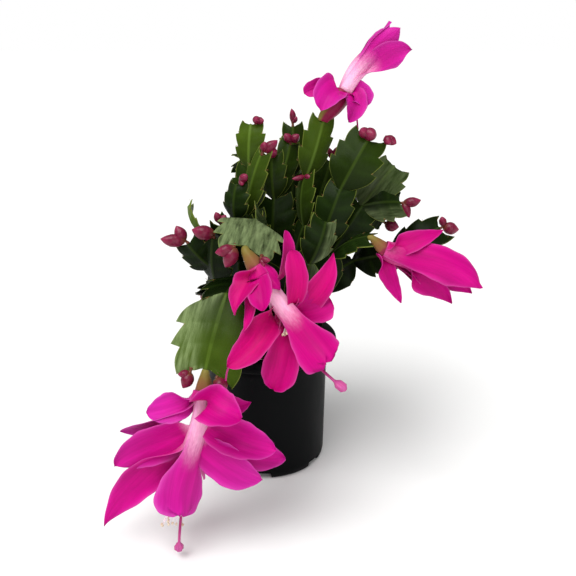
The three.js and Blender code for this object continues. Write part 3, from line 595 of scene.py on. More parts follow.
# ---- stems: where they grow --------------------------------------------------------------------------
# In millimetres. Each stem has its foot in the compost, then its segments: the joint that each one starts
# from, where 0 is the foot, the joint at its end, its width, and the way that its flat side faces.
SOIL_TOP = 59.0  # the height at which the stems' feet leave the compost
STEMS = {
    "trailing": ((-7, -15), [
        (0, (-5, -16, 87), 17, (0.3, -0.9, 0.2)),
        (1, (-7, -31, 111), 20, (-0.2, -0.7, 0.6)),
        (2, (-14.5, -60, 112), 28, (0, 0, 1)),
        (3, (-22.5, -76, 84.5), 36, (-0.15, -0.85, 0.45)),
    ]),
    "drooping": ((1, -9), [
        (0, (0, -8, 86), 14, (0, -1, 0.2)),
        (1, (0, -14, 113), 22, (0.2, -1, 0.2)),
        (2, (-3, -32, 138), 24, (0, -0.6, 0.8)),
        (3, (-6, -58, 132.5), 30, (0.25, -0.45, 0.86)),
    ]),
    "crown": ((8, 1), [
        (0, (9, 3, 86), 16, (-0.4, -0.9, 0)),
        (1, (17, 1, 107), 15, (-0.3, -0.9, 0.2)),
        (2, (20.5, 0, 128), 15, (-0.7, -0.7, 0)),
        (3, (21, 5, 152), 16, (-0.8, -0.6, 0)),
        (4, (29, 9, 178.5), 15.5, (0.3, -0.9, 0.3)),
    ]),
    "right_high": ((13, -9), [
        (0, (16, -10, 90), 12, (0.5, -0.8, 0.2)),
        (1, (28, -12, 121), 20, (-0.2, -0.95, 0.2)),
        (2, (37.5, -8, 148), 19, (-0.2, -0.95, 0.2)),
        (3, (50.5, -2, 171), 24, (-0.1, -0.95, 0.3)),
    ]),
    "right": ((18, -3), [
        (0, (24, -4, 88), 12, (0.3, -0.9, 0.4)),
        (1, (35, -6, 117), 18, (0, -0.9, 0.4)),
        (2, (49, -1, 138), 22, (0, -0.8, 0.5)),
        (3, (68, 2, 139), 19, (0.1, -0.8, 0.6)),
        (3, (66.5, 16, 155), 22, (-0.3, -0.9, 0.2)),
        (3, (60, 3, 129.5), 13, (0.1, -0.9, 0.3)),
    ]),
    "reaching": ((13, -17), [
        (0, (18, -20, 89), 15, (0, -0.8, 0.5)),
        (1, (33, -22, 118), 18, (-0.2, -0.6, 0.7)),
        (2, (49.5, -28, 129), 20, (-0.41, -0.03, 0.87)),
    ]),
    "low_right": ((22, 5), [
        (0, (25, 4, 93), 16, (0, -0.8, 0.6)),
        (1, (46, 5, 107.5), 20, (0, -0.8, 0.6)),
        (2, (66.5, 9, 109.5), 20, (0.1, -0.8, 0.6)),
        (3, (91.5, 12, 123.5), 21, (-0.1, -0.7, 0.7)),
    ]),
    "left_high": ((-4, 4), [
        (0, (-5, 2, 86), 17, (-0.4, -0.9, 0.1)),
        (1, (-7, -2, 110), 22, (-0.3, -0.95, 0.1)),
        (2, (-8, -4, 135), 23, (-0.2, -1, 0.1)),
        (3, (-7, 2, 157), 18, (-0.3, -0.95, 0)),
        (4, (-6, 8, 177), 15, (-0.2, -0.9, 0.2)),
        (3, (-0.5, -5, 164), 12, (-0.5, -0.8, 0.3)),
    ]),
    "left": ((-13, 2), [
        (0, (-11, -1, 87), 16, (-0.5, -0.8, 0)),
        (1, (-12, -7, 112), 19, (-0.4, -0.9, 0)),
        (2, (-13, -13, 134), 22, (-0.3, -0.95, 0)),
        (3, (-12, -11, 151), 15, (-0.5, -0.85, 0)),
        (2, (-19.5, -20, 133), 15, (-0.3, -0.9, 0.3)),
    ]),
    "low_left": ((-15, -8), [
        (0, (-18, -16, 84), 14, (-0.8, -0.5, 0.2)),
        (1, (-22.5, -23.5, 106), 14, (-0.4, -0.9, 0.3)),
        (2, (-22, -32, 130.5), 20, (-0.4, -0.85, 0.3)),
        (1, (-22, -24, 113), 18, (-0.5, -0.8, 0.3)),
        (4, (-34.5, -29, 127), 18, (-0.5, -0.8, 0.3)),
        (4, (-28, -20, 129), 10, (-0.8, 0.3, 0.5)),
        (6, (-35, -13, 141), 9, (-0.8, 0.3, 0.5)),
    ]),
    "front_short": ((6, -22), [
        (0, (14, -26, 90), 15, (0.2, -0.9, 0.3)),
        (1, (22, -31, 118), 17, (0.2, -0.9, 0.3)),
        (2, (29, -28, 137), 17, (0.4, -0.85, 0.2)),
    ]),
    "centre": ((-5, 10), [
        (0, (-2, 9, 88), 14, (0, -1, 0)),
        (1, (4, 8, 114), 24, (0.2, -1, 0)),
        (2, (5, 9, 140), 24, (-0.1, -1, 0.1)),
        (3, (4, 12, 161), 15, (-0.2, -0.95, 0.2)),
        (3, (13, 16, 166), 14, (0.2, -0.95, 0.1)),
    ]),
    "behind": ((3, 14), [
        (0, (6, 14, 90), 12, (0.5, -1, 0)),
        (1, (11, 15, 120), 15, (0.3, -1, 0)),
        (2, (15, 22, 150), 20, (0.1, -1, 0)),
        (3, (14.5, 26, 174), 14, (0, -0.95, 0.2)),
        (2, (28, 14, 139), 19, (0.1, -0.95, 0.2)),
        (5, (34, 19, 157), 18, (0, -0.95, 0.2)),
    ]),
}
# How old each stem's segments look, from 0 for a new one to 0.75 for an old one, where it isn't worked out
# from the height (the old colour's dark is partly painted shade), and how much painted sheen, a pale
# reflection of the light, lies on them, on the half that the sign gives or on both.
FRESH = {
    "left_high": {5: 0.14, 6: 0.2},
    "low_left": {6: 0.0, 7: 0.0},
    "trailing": {4: 0.18},
    "reaching": {3: 0.32},
    "crown": {5: 0.17, 4: 0.25},
}
SHEEN = {
    "drooping": {4: (0.68, 0), 3: (0.15, 0)},
    "trailing": {4: (0.6, 1)},
    "front_short": {2: (0.35, 1), 3: (0.55, 1)},
    "right": {4: (0.3, 1), 5: (0.2, 0)},
    "crown": {4: (0.15, -1)},
}

# Stems that arch over the back of the pot, each on a parabola in an upright plane. A value for each stem:
ARCH_HEADINGS = (40, 67, 98, 124, 152)  # where it goes, in degrees from +X towards +Y
ARCH_COUNTS = (5, 5, 5, 5, 3)  # how many segments it has
ARCH_REACHES = (52, 56, 50, 38, 16)  # how far out it ends from its foot
ARCH_CRESTS = (80, 92, 96, 54, 36)  # how high the parabola's top is above the compost
ARCH_DROOPS = (0.75, 0.8, 0.72, 0.85, 0.65)  # where along it that top is
ARCH_ROOT = 19  # from the pot's middle to the foot of each
# A value for each segment from the foot on:
ARCH_WIDTHS = (13, 19, 23, 25, 24)
ARCH_TURNS = (75, 45, 20, 10, 0)  # how far its flat sides are turned about its length, in degrees


class Blade:
    """One segment: its ends, its width, the way its flat side faces, and whether it is one of the worn
    ones at the foot."""

    def __init__(self, start, end, width, face, worn):
        self.start, self.end, self.width, self.worn = start, end, width, worn
        self.reach = end - start
        self.along = unit(self.reach)
        self.facing = square_to(self.along, np.asarray(face, float))


def repeatable(seed):
    """The same draws that the frame's arches take: a linear congruential sequence."""
    state = seed

    def draw(low, high):
        nonlocal state
        state = (state * 1664525 + 1013904223) % 4294967296
        return low + (high - low) * state / 4294967296

    return draw


def placed_stem(root, segments):
    """A stem's foot and segments, from its row in STEMS."""
    joints = [vec(*root, SOIL_TOP)]
    blades = []
    for start, end, width, face in segments:
        joints.append(vec(*end))
        blades.append(Blade(joints[start], joints[-1], width, face, start < 2))
    return vec(*root), blades


def arched_stem(i):
    """An arching stem's foot and segments. Its joints run out with the power 1.3 of the way gone, on a
    parabola whose top is past its end or short of it, and its flat sides turn level by steps."""
    draw = repeatable(101 + 17 * i)
    heading = math.radians(ARCH_HEADINGS[i])
    out = vec(math.cos(heading), math.sin(heading), 0)
    root = ARCH_ROOT * out
    count = ARCH_COUNTS[i]
    s = np.arange(count + 1)[:, None] / count
    rise = ARCH_CRESTS[i] * (1 - (s / ARCH_DROOPS[i] - 1) ** 2)
    joints = root + vec(0, 0, SOIL_TOP) + out * ARCH_REACHES[i] * s**1.3 + vec(0, 0, 1) * rise
    blades = []
    for k in range(count):
        turn = math.radians(ARCH_TURNS[k] + draw(-10, 10))
        face = turned(vec(-out[0], -out[1], 1.2), unit(joints[k + 1] - joints[k]), turn)
        blades.append(Blade(joints[k], joints[k + 1], ARCH_WIDTHS[k], face, k < 2))
    return root[:2], blades


def all_stems():
    """Every stem by name: its foot and its segments."""
    stems = {name: placed_stem(*placed) for name, placed in STEMS.items()}
    for i in range(len(ARCH_HEADINGS)):
        stems[f"back_{i + 1}"] = arched_stem(i)
    return stems


def segment_at(stems, name, number):
    """A stem's segment by its number, counted from 1."""
    return stems[name][1][number - 1]


# ---- stems: their shape ------------------------------------------------------------------------------
# The outline of a segment in runs from one tooth to the next: the midrib's place at the run's start and
# end, the margin's place there, how far out the margin is as a share of half the width, how much the run
# bulges, and how many rows it has.
LEAF_RUNS = (
    (-0.03, 0.38, -0.03, 0.475, 0.13, 1.03, 0.21, 13),
    (0.405, 0.64, 0.482, 0.785, 0.84, 1.02, 0.02, 9),
    (0.665, 0.89, 0.792, 1.14, 0.78, 0.7, 0.08, 11),
    (0.91, 0.985, 1.055, 0.975, 0.52, 0.14, -0.08, 8),
)
WORN_RUNS = (
    (-0.03, 0.62, -0.03, 0.69, 0.26, 1.0, 0.2, 14),
    (0.66, 0.985, 0.74, 0.985, 0.87, 0.3, 0.14, 10),
)
BOW = 2.0  # how far a segment arches, in millimetres
CUP = 1.5  # how far its margins roll back
MARGIN_WAVE = 0.5  # how far they wave up and down
TILT = 0.6  # how far it may dip to one side
SWELL = 0.35  # how much it swells between veins
RIDGE_WIDTH = 1.3  # from the midrib's crest to where its ridge ends
SLANT = 1.4  # power of the distance out by which the rows slant forwards
WORN_BODY = 1.35  # how much thicker the worn segments are
FOOT_RADII = [(0, 2.6), (0.5, 2.2), (1, 1.1)]  # (place along the foot, radius)
FOOT_SUNK = 6.0  # how deep a stem's foot reaches into the compost
FOOT_RISE = 1.5  # how high it stands before it leans towards its first joint
STEM_HEIGHT = 110.0  # over which segments grow younger
# older and so darker towards the compost; part of that dark is painted shade of the plant's inside
OLDEST, YOUNGER = 0.75, 0.48  # the age at the compost, and how much less it is at the top
BRISTLES = {"count": 3, "spread": 0.35, "reach": (0.9, 1.9), "radii": (0.09, 0.03)}


def margin_rows(runs, draw):
    """Where the midrib is in each row and, for each side, where the margin is and how far out, with small
    drawn differences between teeth. In a run each of them goes evenly from its start to its end, and the
    reach also swells by a half sine."""
    ribs, places, reaches, phases = [], [], [], []
    for rib0, rib1, low, high, near, far, bulge, rows in runs:
        p = np.linspace(0, 1, rows)
        shift = draw.uniform(-0.018, 0.018, 2) * (low > 0)
        depth = draw.uniform(-0.05, 0.03, 2) * (low > 0)
        ribs.append(rib0 + (rib1 - rib0) * p)
        places.append((low + (high - low) * p)[:, None] + shift)
        reach = near + (far - near) * p + bulge * np.sin(math.pi * p)
        reaches.append(reach[:, None] + depth * (1 - p)[:, None])
        phases.append(p)
    return np.concatenate(ribs), np.concatenate(places), np.concatenate(reaches), np.concatenate(phases)


def segment(blade, s, age, sheen, seed, around=48):
    """A flat jointed segment, the places of the notches between its teeth, and the ways that they point.
    Its surface runs along the length and round the section: the centreline is a parabola that bows towards
    the facing side, rows slant forwards from the midrib to the teeth, the margins roll back with the power
    1.6 of the distance out, and the thickness is that of the margin plus a body that thins outwards and a
    bell-shaped midrib. Between veins it swells a little."""
    draw = np.random.default_rng(seed)
    runs = WORN_RUNS if blade.worn else LEAF_RUNS
    rib, places, reaches, phase = margin_rows(runs, draw)
    across, face, round_off = slab_columns(around, 0.6)
    side = (across > 0).astype(int)
    reach = reaches[:, side]
    out = np.abs(across)
    place = rib[:, None] + (places[:, side] - rib[:, None]) * out**SLANT
    half = blade.width / 2
    x = across * reach * half
    size = np.linalg.norm(blade.reach)
    bow = BOW * 4 * place * (1 - place)
    centre = blade.start + blade.reach * place[..., None] + blade.facing * bow[..., None]
    along = unit(blade.reach + blade.facing * (BOW * 4 * (1 - 2 * place))[..., None])
    normal = square_to(along, blade.facing)
    beside = np.cross(along, normal)
    wave = MARGIN_WAVE * np.sin(2 * math.pi * (1.3 * place + draw.uniform(0, 1, 2)[side])) * out**2
    tilt = draw.uniform(-TILT, TILT) * across * np.clip(place, 0, 1)
    z = -CUP * reach**2 * out**1.6 + wave * step(0, 0.3, place) + tilt
    swell = np.sin(math.pi * phase)[:, None] * 4 * out * (1 - out)
    margin, body, ridge = s.margin / MM, s.body / MM, s.ridge / MM
    thick = margin + (body * (WORN_BODY if blade.worn else 1) - margin) * (1 - out) ** 0.8
    thick = thick + ridge * np.exp(-((x / RIDGE_WIDTH) ** 2)) + SWELL * swell
    z = z + face * (thick * round_off) / 2
    rings = centre + beside * x[..., None] + normal * z[..., None]
    vein = np.exp(-((np.minimum(phase, 1 - phase)[:, None] / 0.1) ** 2)) * step(0.05, 0.3, out)
    # painted sheen: a pale reflection painted on the upper face, on the half that the sign gives or on both
    amount, half_only = sheen
    bloom = amount * (face > 0) * (step(0.05, 0.75, half_only * across) if half_only else 1)
    shell = loft(
        rings, age=age, rim=(1 - out) * reach * half, rib=np.abs(x), vein=vein, bloom=bloom,
        across=x, along=place * size, share=place,
    )
    ends = [np.argmin(across), np.argmax(across)]
    notches = np.cumsum([run[-1] for run in runs])[:-1]
    points = centre[notches][:, ends] + (rings - centre)[notches][:, ends] * 0.97
    ways = unit(along[notches][:, ends] * 0.8 + beside[notches][:, ends] * np.sign(across[ends])[:, None])
    return shell, points.reshape(-1, 3), ways.reshape(-1, 3)


def foot(root, first):
    """The corky foot of a stem: a tube that narrows from the compost up into the first segment."""
    rows = np.linspace(0, 1, 14)[:, None]
    ground, top = vec(*root, SOIL_TOP - FOOT_SUNK), vec(*root, SOIL_TOP + FOOT_RISE)
    path = ground + (top - ground) * np.minimum(rows * 2, 1)
    path = path + (vec(*first) - top) * 0.35 * np.maximum(rows * 2 - 1, 0)
    turn = circle(16)
    radii = smooth(FOOT_RADII, rows[:, 0])
    knobs = 1 + 0.1 * np.sin(3 * turn + 9 * rows) + 0.06 * np.sin(7 * turn - 14 * rows)
    return pipe(
        path, radii[:, None] * knobs, 16, age=1.0, rim=5.0, rib=5.0, vein=0.0, bloom=0.0, across=0.0,
        along=rows * 20, share=1.0,
    )


def segment_age(name, number, blade):
    """Segments are older, and darker, the nearer they are to the compost, unless the table says otherwise.
    Part of that darkness is painted shade of the plant's inside.
    """
    height = (blade.end[2] - SOIL_TOP) / STEM_HEIGHT
    return FRESH.get(name, {}).get(number, OLDEST - YOUNGER * float(step(0.2, 0.95, height)))


class CACTUS_OT_stems(bpy.types.Operator):
    """Grow the leafy stems"""

    bl_idname = "cactus.stems"
    bl_label = "Stems"

    def execute(self, context):
        settings = context.scene.cactus_stems
        material = waxy_cuticle(settings)
        for index, (name, (root, blades)) in enumerate(all_stems().items()):
            shells = [foot(root, blades[0].end)]
            for k, blade in enumerate(blades, 1):
                sheen = SHEEN.get(name, {}).get(k, (0, 0))
                age = segment_age(name, k, blade)
                shells.append(segment(blade, settings, age, sheen, SEEDS["stem"] * index + k)[0])
            add_piece(f"leafy_stem_{name}", shells, material, "leaf", f"stem_{name}")
        return {"FINISHED"}


def tuft(point, way, draw):
    """The few short bristles of one areole: threads that leave a notch in a narrow spray."""
    bristles = []
    for _ in range(BRISTLES["count"]):
        lean = unit(way + draw.normal(0, BRISTLES["spread"], 3))
        reach = draw.uniform(*BRISTLES["reach"])
        path = point + lean * np.linspace(-0.4, reach, 4)[:, None]
        bristles.append(pipe(path, np.linspace(*BRISTLES["radii"], 4), 5, along=0.3))
    return bristles


class CACTUS_OT_areoles(bpy.types.Operator):
    """Set the fine bristles in the notches of the segments"""

    bl_idname = "cactus.areoles"
    bl_label = "Areoles"

    def execute(self, context):
        settings = context.scene.cactus_stems
        material = thread_tissue("areole_bristle")
        for index, (name, (_, blades)) in enumerate(all_stems().items()):
            draw = np.random.default_rng(SEEDS["bristles"] + index)
            bristles = []
            for k, blade in enumerate(blades, 1):
                _, points, ways = segment(blade, settings, 0.5, (0, 0), SEEDS["stem"] * index + k)
                for point, way in zip(points, ways):
                    bristles += tuft(point, way, draw)
            add_piece(f"areoles_{name}", bristles, material, "leaf")
        return {"FINISHED"}


# ---- buds --------------------------------------------------------------------------------------------
# Clusters past the tips of segments: the stem, the segment, the place across its tip as a share of half its
# width, and the buds, each with its direction, length and radius in millimetres.
BUDS = [
    ("left_high", 5, 0.3, [((0.1, -0.9, 0.2), 5, 1.8), ((0.8, -0.6, 0), 5, 1.7)]),
    ("left_high", 6, 0, [((0.2, -0.4, 0.9), 5, 1.9), ((0.85, 0, 0.6), 8.5, 2.4)]),
    ("behind", 4, 0, [((-0.1, -0.1, 1), 7, 1.6), ((0.4, -0.3, 0.6), 4, 1.3)]),
    ("centre", 5, 0, [((-0.7, -0.5, 0.8), 5.5, 2.1), ((0.9, -0.5, 0.8), 5.5, 2.1)]),
    ("centre", 4, 0, [((0, -1, 0.1), 7, 2.6)]),
    ("left", 4, 0.2, [((0.5, -0.5, 0.5), 5.5, 1.9), ((0.2, -0.6, -0.3), 4, 1.3)]),
    ("behind", 6, 0, [((-0.3, -0.3, 0.9), 6, 1.6), ((0.5, -0.2, 0.8), 8, 2)]),
    ("right_high", 4, -0.15, [((-0.5, -0.7, 0.3), 6.5, 2.5), ((0.4, -1, 0.1), 6.5, 3)]),
    ("right_high", 4, 0.6, [((0.1, -0.9, -0.5), 5.5, 2), ((0.9, -0.6, -0.6), 6, 2.2)]),
    ("right", 4, 0, [((0.95, -0.2, 0.2), 8.5, 2.4), ((0.35, -0.3, -0.9), 8, 2.2)]),
    ("right", 6, 0, [((0.9, -0.3, -0.2), 7, 2.9)]),
    ("low_right", 4, 0, [((-0.3, -0.1, 1), 5.5, 1.9), ((0.95, -0.1, -0.2), 8, 3.1)]),
    ("low_left", 5, 0, [((-0.95, -0.2, 0.1), 11, 2.9), ((-0.5, 0.1, 0.9), 7.5, 2.7)]),
    ("low_left", 3, 0, [((-0.95, -0.1, 0.2), 10, 3.2)]),
    ("left", 5, 0, [((-0.3, -0.1, 0.9), 5.5, 1.8), ((0.6, -0.2, 0.8), 5, 1.7)]),
    ("drooping", 4, 0.32, [((-1, -0.3, -0.2), 8, 2.4), ((-0.4, -0.2, -0.9), 9, 3.1)]),
    ("drooping", 4, -0.5, [((0.3, -0.6, -0.6), 4, 1.2), ((0.9, -0.5, 0), 4.5, 1.3)]),
    ("trailing", 4, 0.36, [((-0.4, -0.3, -0.8), 7, 2.6), ((-0.9, -0.2, 0), 5, 1.7)]),
    ("trailing", 4, -0.3, [((0.5, -0.4, -0.7), 7, 3)]),
]
# Small shoots that sit at joints, each with its stem, the joint, its direction, length and radius.
SHOOTS = [
    ("crown", 4, (-1, -0.35, -0.15), 7, 1.3),
    ("crown", 4, (0.75, -0.9, 0.05), 4.5, 1.4),
]
BUD_CLEAR = 2.1  # from a segment's tip to the middle of a bud's root, in millimetres
HORN_PLACE = 0.32  # share of half the width past which a bud sits on a horn of the tip
STALK_SHAPE = [(0, 0.75), (0.4, 0.5), (1, 0.7)]  # (place along the stalk, share of its radius)
STALK_RADIUS = 1.3
SCALE_TIERS = ((0.3, 3), (0.58, 4), (0.86, 5))  # where each tier of scales ends, and how many it has
SCALE_RISE = 0.05  # how much each tier adds, as a share of the bud's radius
# The same for a bud.
BUD_SHAPE = [(0, 0.45), (0.12, 0.72), (0.35, 0.98), (0.6, 0.97), (0.82, 0.62), (0.95, 0.24), (1, 0.06)]


def arch_buds(i):
    """A pair of buds for the tip of an arching stem."""
    draw = repeatable(211 + 29 * i)
    buds = []
    for lean in (-30, 35):
        heading = math.radians(ARCH_HEADINGS[i] + lean + draw(-10, 10))
        buds.append(((math.cos(heading), math.sin(heading), draw(-0.8, 0.1)), draw(6, 10), draw(1.8, 2.8)))
    return buds


def bud(root, way, size, radius, seed, rows=26, around=30):
    """A pointed bud: a spindle round a gently bent axis. Three tiers of scales, turned against each other,
    raise it by a few per cent and end in pointed edges."""
    draw = np.random.default_rng(seed)
    s = np.linspace(0, 1, rows)[:, None]
    turn = circle(around) + draw.uniform(0, 2 * math.pi)
    edges = np.zeros((rows, around))
    raised = np.zeros((rows, around))
    for tier, (low, count) in enumerate(SCALE_TIERS):
        pointed = low + 0.16 * np.abs(np.sin(count * (turn + 1.1 * tier) / 2)) - 0.05
        raised += SCALE_RISE * (1 - step(-0.02, 0.05, s - pointed))
        edges += np.exp(-(((s - pointed) / 0.03) ** 2))
    side = square_to(way, vec(0.3, 0.2, -1))
    path = root + way * s * size + side * 0.05 * size * np.sin(math.pi * s)
    radii = radius * smooth(BUD_SHAPE, s) * (0.93 + raised)
    return pipe(path, radii, around, along=s, scale=np.clip(edges * 0.55, 0, 0.55))


def stalk(tip, root, radius):
    """The short stalk that joins a bud to the areole at its segment's tip."""
    s = np.linspace(0, 1, 7)[:, None]
    path = tip + (root - tip) * (1.25 * s - 0.15)
    return pipe(path, radius * smooth(STALK_SHAPE, s[:, 0]), 12, along=0.0, scale=0.0)


class CACTUS_OT_buds(bpy.types.Operator):
    """Set the clusters of buds at the tips of the stems"""

    bl_idname = "cactus.buds"
    bl_label = "Buds"

    def execute(self, context):
        material = bud_scales(context.scene.cactus_buds)
        stems = all_stems()
        clusters = list(BUDS)
        clusters += [(f"back_{i + 1}", n, 0, arch_buds(i)) for i, n in enumerate(ARCH_COUNTS)]
        for index, (name, number, across, buds) in enumerate(clusters):
            blade = segment_at(stems, name, number)
            beside = np.cross(blade.along, blade.facing)
            horn = max(0, abs(across) - HORN_PLACE) * 0.4 * np.linalg.norm(blade.reach)
            tip = blade.end + beside * across * blade.width / 2
            root = tip + blade.along * (BUD_CLEAR + horn)
            shells = [stalk(tip + blade.along * horn, root, STALK_RADIUS)]
            for k, (way, size, radius) in enumerate(buds):
                shells.append(bud(root, unit(vec(*way)), size, radius, SEEDS["bud"] + 10 * index + k))
            label = f"{index + 1:02d}_{name}"
            add_piece(f"bud_cluster_{label}", shells, material, "bud", f"buds_{label}")
        shoots = []
        for k, (name, number, way, size, radius) in enumerate(SHOOTS):
            blade = segment_at(stems, name, number)
            root = blade.end + blade.facing * 0.6
            shoots.append(bud(root, unit(vec(*way)), size, radius, SEEDS["shoot"] + k))
        add_piece("joint_shoots", shoots, material, "bud")
        return {"FINISHED"}


# ---- flowers -----------------------------------------------------------------------------------------
# In millimetres. Each flower hangs from a segment of its stem. crown is where the ovary ends and the tube
# begins, mouth the tube's other end, and elbow what it heads for, where it doesn't go on the ovary's way.
# ovary holds that part's radii from root to crown, and girth scales the tube's. tint runs from a redder to a
# more lilac magenta, pale is how pale the tube is, and flush how crimson the ovary. The style is what it
# heads for and its end, and the stamens are the share of it that they follow and how far they lean.
# A petal is its place along the tube, its tip, its width, the angle from the tube at its root or the point
# that it heads for, the way that its inner side faces at the tip, or None where its own curve gives that,
# its form, and how far along it stays wrapped round the tube.
FLOWERS = {
    "low": {
        "stem": ("trailing", 4), "crown": (-23.5, -78, 75), "elbow": None, "mouth": (-31.5, -83, 47),
        "ovary": (1.9, 3, 4.2), "girth": 1.0, "tint": 0.5, "pale": 0.74, "flush": 0.05,
        "style": ((-35, -88, 24), (-36, -90, 3.5)), "stamens": (0.74, (-3.5, 0, 1.0)),
        "petals": [
            (0.0, (-7, -92, 70.5), 17, (-20, -94, 77), (-0.1, -0.6, 0.8), "hood", 0.35),
            (0.05, (-48, -80, 66.5), 13, 70, (0.1, -0.9, 0.5), "broad", 0.25),
            (0.2, (-61, -76, 54.5), 11, 60, (0.1, -0.85, -0.5), "broad", 0.25),
            (0.1, (-4, -67, 65), 11, 60, (0, -0.8, 0.6), "pointed", 0.25),
            (0.1, (-26, -52, 66), 14, 60, None, "broad", 0.3),
            (0.6, (-62, -85, 43), 17, 75, (0.1, -1, 0.1), "sessile", 0.25),
            (0.9, (-69, -86, 13), 17, 50, (0.3, -0.9, 0.3), "pointed", 0.3),
            (0.06, (-33.3, -97, 28), 24, 12, None, "lip", 0.8),
            (0.4, (7, -86, 52.5), 16, 78, (0, -0.8, 0.6), "sessile", 0.3),
            (0.6, (11, -74, 40), 16, 80, (0, -1, 0.1), "sessile", 0.3),
            (0.7, (1, -88, 38.5), 19, 75, (0, -1, -0.1), "sessile", 0.3),
            (0.9, (-29, -60, 28), 16, 40, None, "broad", 0.4),
            (0.9, (-50, -68, 30), 15, 40, None, "broad", 0.4),
        ],
    },
    "middle": {
        "stem": ("drooping", 4), "crown": (-1, -61, 124), "elbow": None, "mouth": (15, -70, 103),
        "ovary": (1.9, 3, 4.3), "girth": 1.0, "tint": 0.16, "pale": 0.9, "flush": 0.0,
        "style": ((17, -74, 90), (36, -84, 79.5)), "stamens": (0.2, (0, 0, 0)),
        "petals": [
            (0.3, (11, -66, 142.5), 6.5, 100, (0.7, -0.7, 0), "blunt", 0.3),
            (0.75, (13.5, -72, 136), 9, 100, (0, -1, 0.2), "blunt", 0.25),
            (0.8, (31, -62, 132), 12, 80, (0, -1, 0.1), "pointed", 0.25),
            (0.0, (-10, -77, 110), 12, (-8, -71, 121), (-0.5, -0.8, 0.3), "cape", 0.4),
            (0.05, (-6, -81, 105), 8, 45, (-0.6, -0.8, 0.1), "pointed", 0.4),
            (0.0, (2, -79, 112.5), 11, (1, -76, 121), (-0.2, -1, 0.2), "hood", 0.7),
            (0.0, (8.5, -71, 118.5), 9, (6, -70, 124), None, "cape", 0.6),
            (0.6, (-12.5, -88, 92), 13.5, 60, (-0.2, -0.9, 0.3), "broad", 0.3),
            (0.85, (5.5, -76, 75.5), 15, 40, (0, -0.85, 0.5), "blunt", 0.35),
            (0.06, (27.5, -85, 92.5), 19, 14, None, "lip", 0.8),
            (0.8, (29.5, -66, 113.5), 15.5, 75, (0.1, -1, 0.2), "blunt", 0.25),
            (0.9, (24, -46, 98), 14, 50, None, "broad", 0.4),
            (0.7, (4, -44, 96), 14, 50, None, "broad", 0.4),
        ],
    },
    "top": {
        "stem": ("crown", 5), "crown": (39.5, 14, 191), "elbow": (42.3, 17.3, 201.6), "mouth": (50, 18, 208),
        "ovary": (3, 4.4, 4.6), "girth": 0.85, "tint": 0.5, "pale": 1.0, "flush": 1.0, "style": None,
        "petals": [
            (0.0, (20, 12, 191.5), 9, 90, (-0.2, -1, 0.2), "blunt", 0.35),
            (0.0, (27.5, 0, 184.5), 16, 90, (-0.2, -1, 0.3), "broad", 0.35),
            (0.0, (42, 6, 178), 12, 90, (0.3, -1, 0), "broad", 0.35),
            (0.0, (50, 10, 185), 13, 80, (0.3, -0.9, 0.2), "broad", 0.35),
            (0.0, (40, 32, 190), 13, 80, None, "broad", 0.35),
            (0.1, (62, 22, 224.5), 12, 4, None, "sheath", 1.0),
            (0.12, (66, 16, 221.5), 13, 4, None, "sheath", 0.9),
            (0.1, (64, 30, 220), 13, 8, None, "sheath", 1.0),
            (0.12, (71.5, 13, 211.5), 13.5, 12, (-0.1, -1, -0.1), "sheath", 0.8),
            (0.1, (68, 28, 212), 13, 10, None, "sheath", 1.0),
        ],
    },
    "right": {
        "stem": ("reaching", 3), "crown": (57.5, -28, 123), "elbow": None, "mouth": (70, -27, 118.5),
        "ovary": (1.4, 2.4, 3.6), "girth": 1.0, "tint": 0.3, "pale": 0.12, "flush": 0.05, "style": None,
        "petals": [
            (0.0, (85, -24, 132), 10.5, (70, -36, 129), (0, -0.8, 0.6), "cape", 0.5),
            (0.0, (66, -30, 97.5), 9, 35, (-0.5, -0.8, 0.2), "pointed", 0.4),
            (0.05, (66, -12, 110), 11, 50, None, "broad", 0.4),
            (0.0, (99.5, -38, 107.5), 17.5, (90, -40, 126.5), None, "mantle", 0.7),
            (0.8, (100.5, -26, 101), 15, (86, -25, 115), (-0.3, -0.9, 0), "pointed", 0.5),
            (0.8, (90.5, -29, 97), 15, (79, -28, 112), (-0.2, -0.9, -0.1), "pointed", 0.5),
            (0.5, (75, -26, 108), 4, 60, None, "blunt", 0.3),
            (0.4, (96, -10, 100), 16, 5, None, "pointed", 0.8),
            (0.4, (86, -14, 98), 15, 15, None, "pointed", 0.8),
        ],
    },
}
TUBE_RADII = [(0, 4.1), (0.1, 3.9), (0.35, 3.8), (0.65, 3.9), (1, 3.9)]  # (place along the tube, radius)
TUBE_BLUSH = [(0, 0.95), (0.14, 0.5), (0.45, 0.08), (0.75, 0.4), (1, 0.9)]  # (place, share of petal colour)
TUBE_WALL = 0.7  # its thickness
TUBE_FLUTES = 5
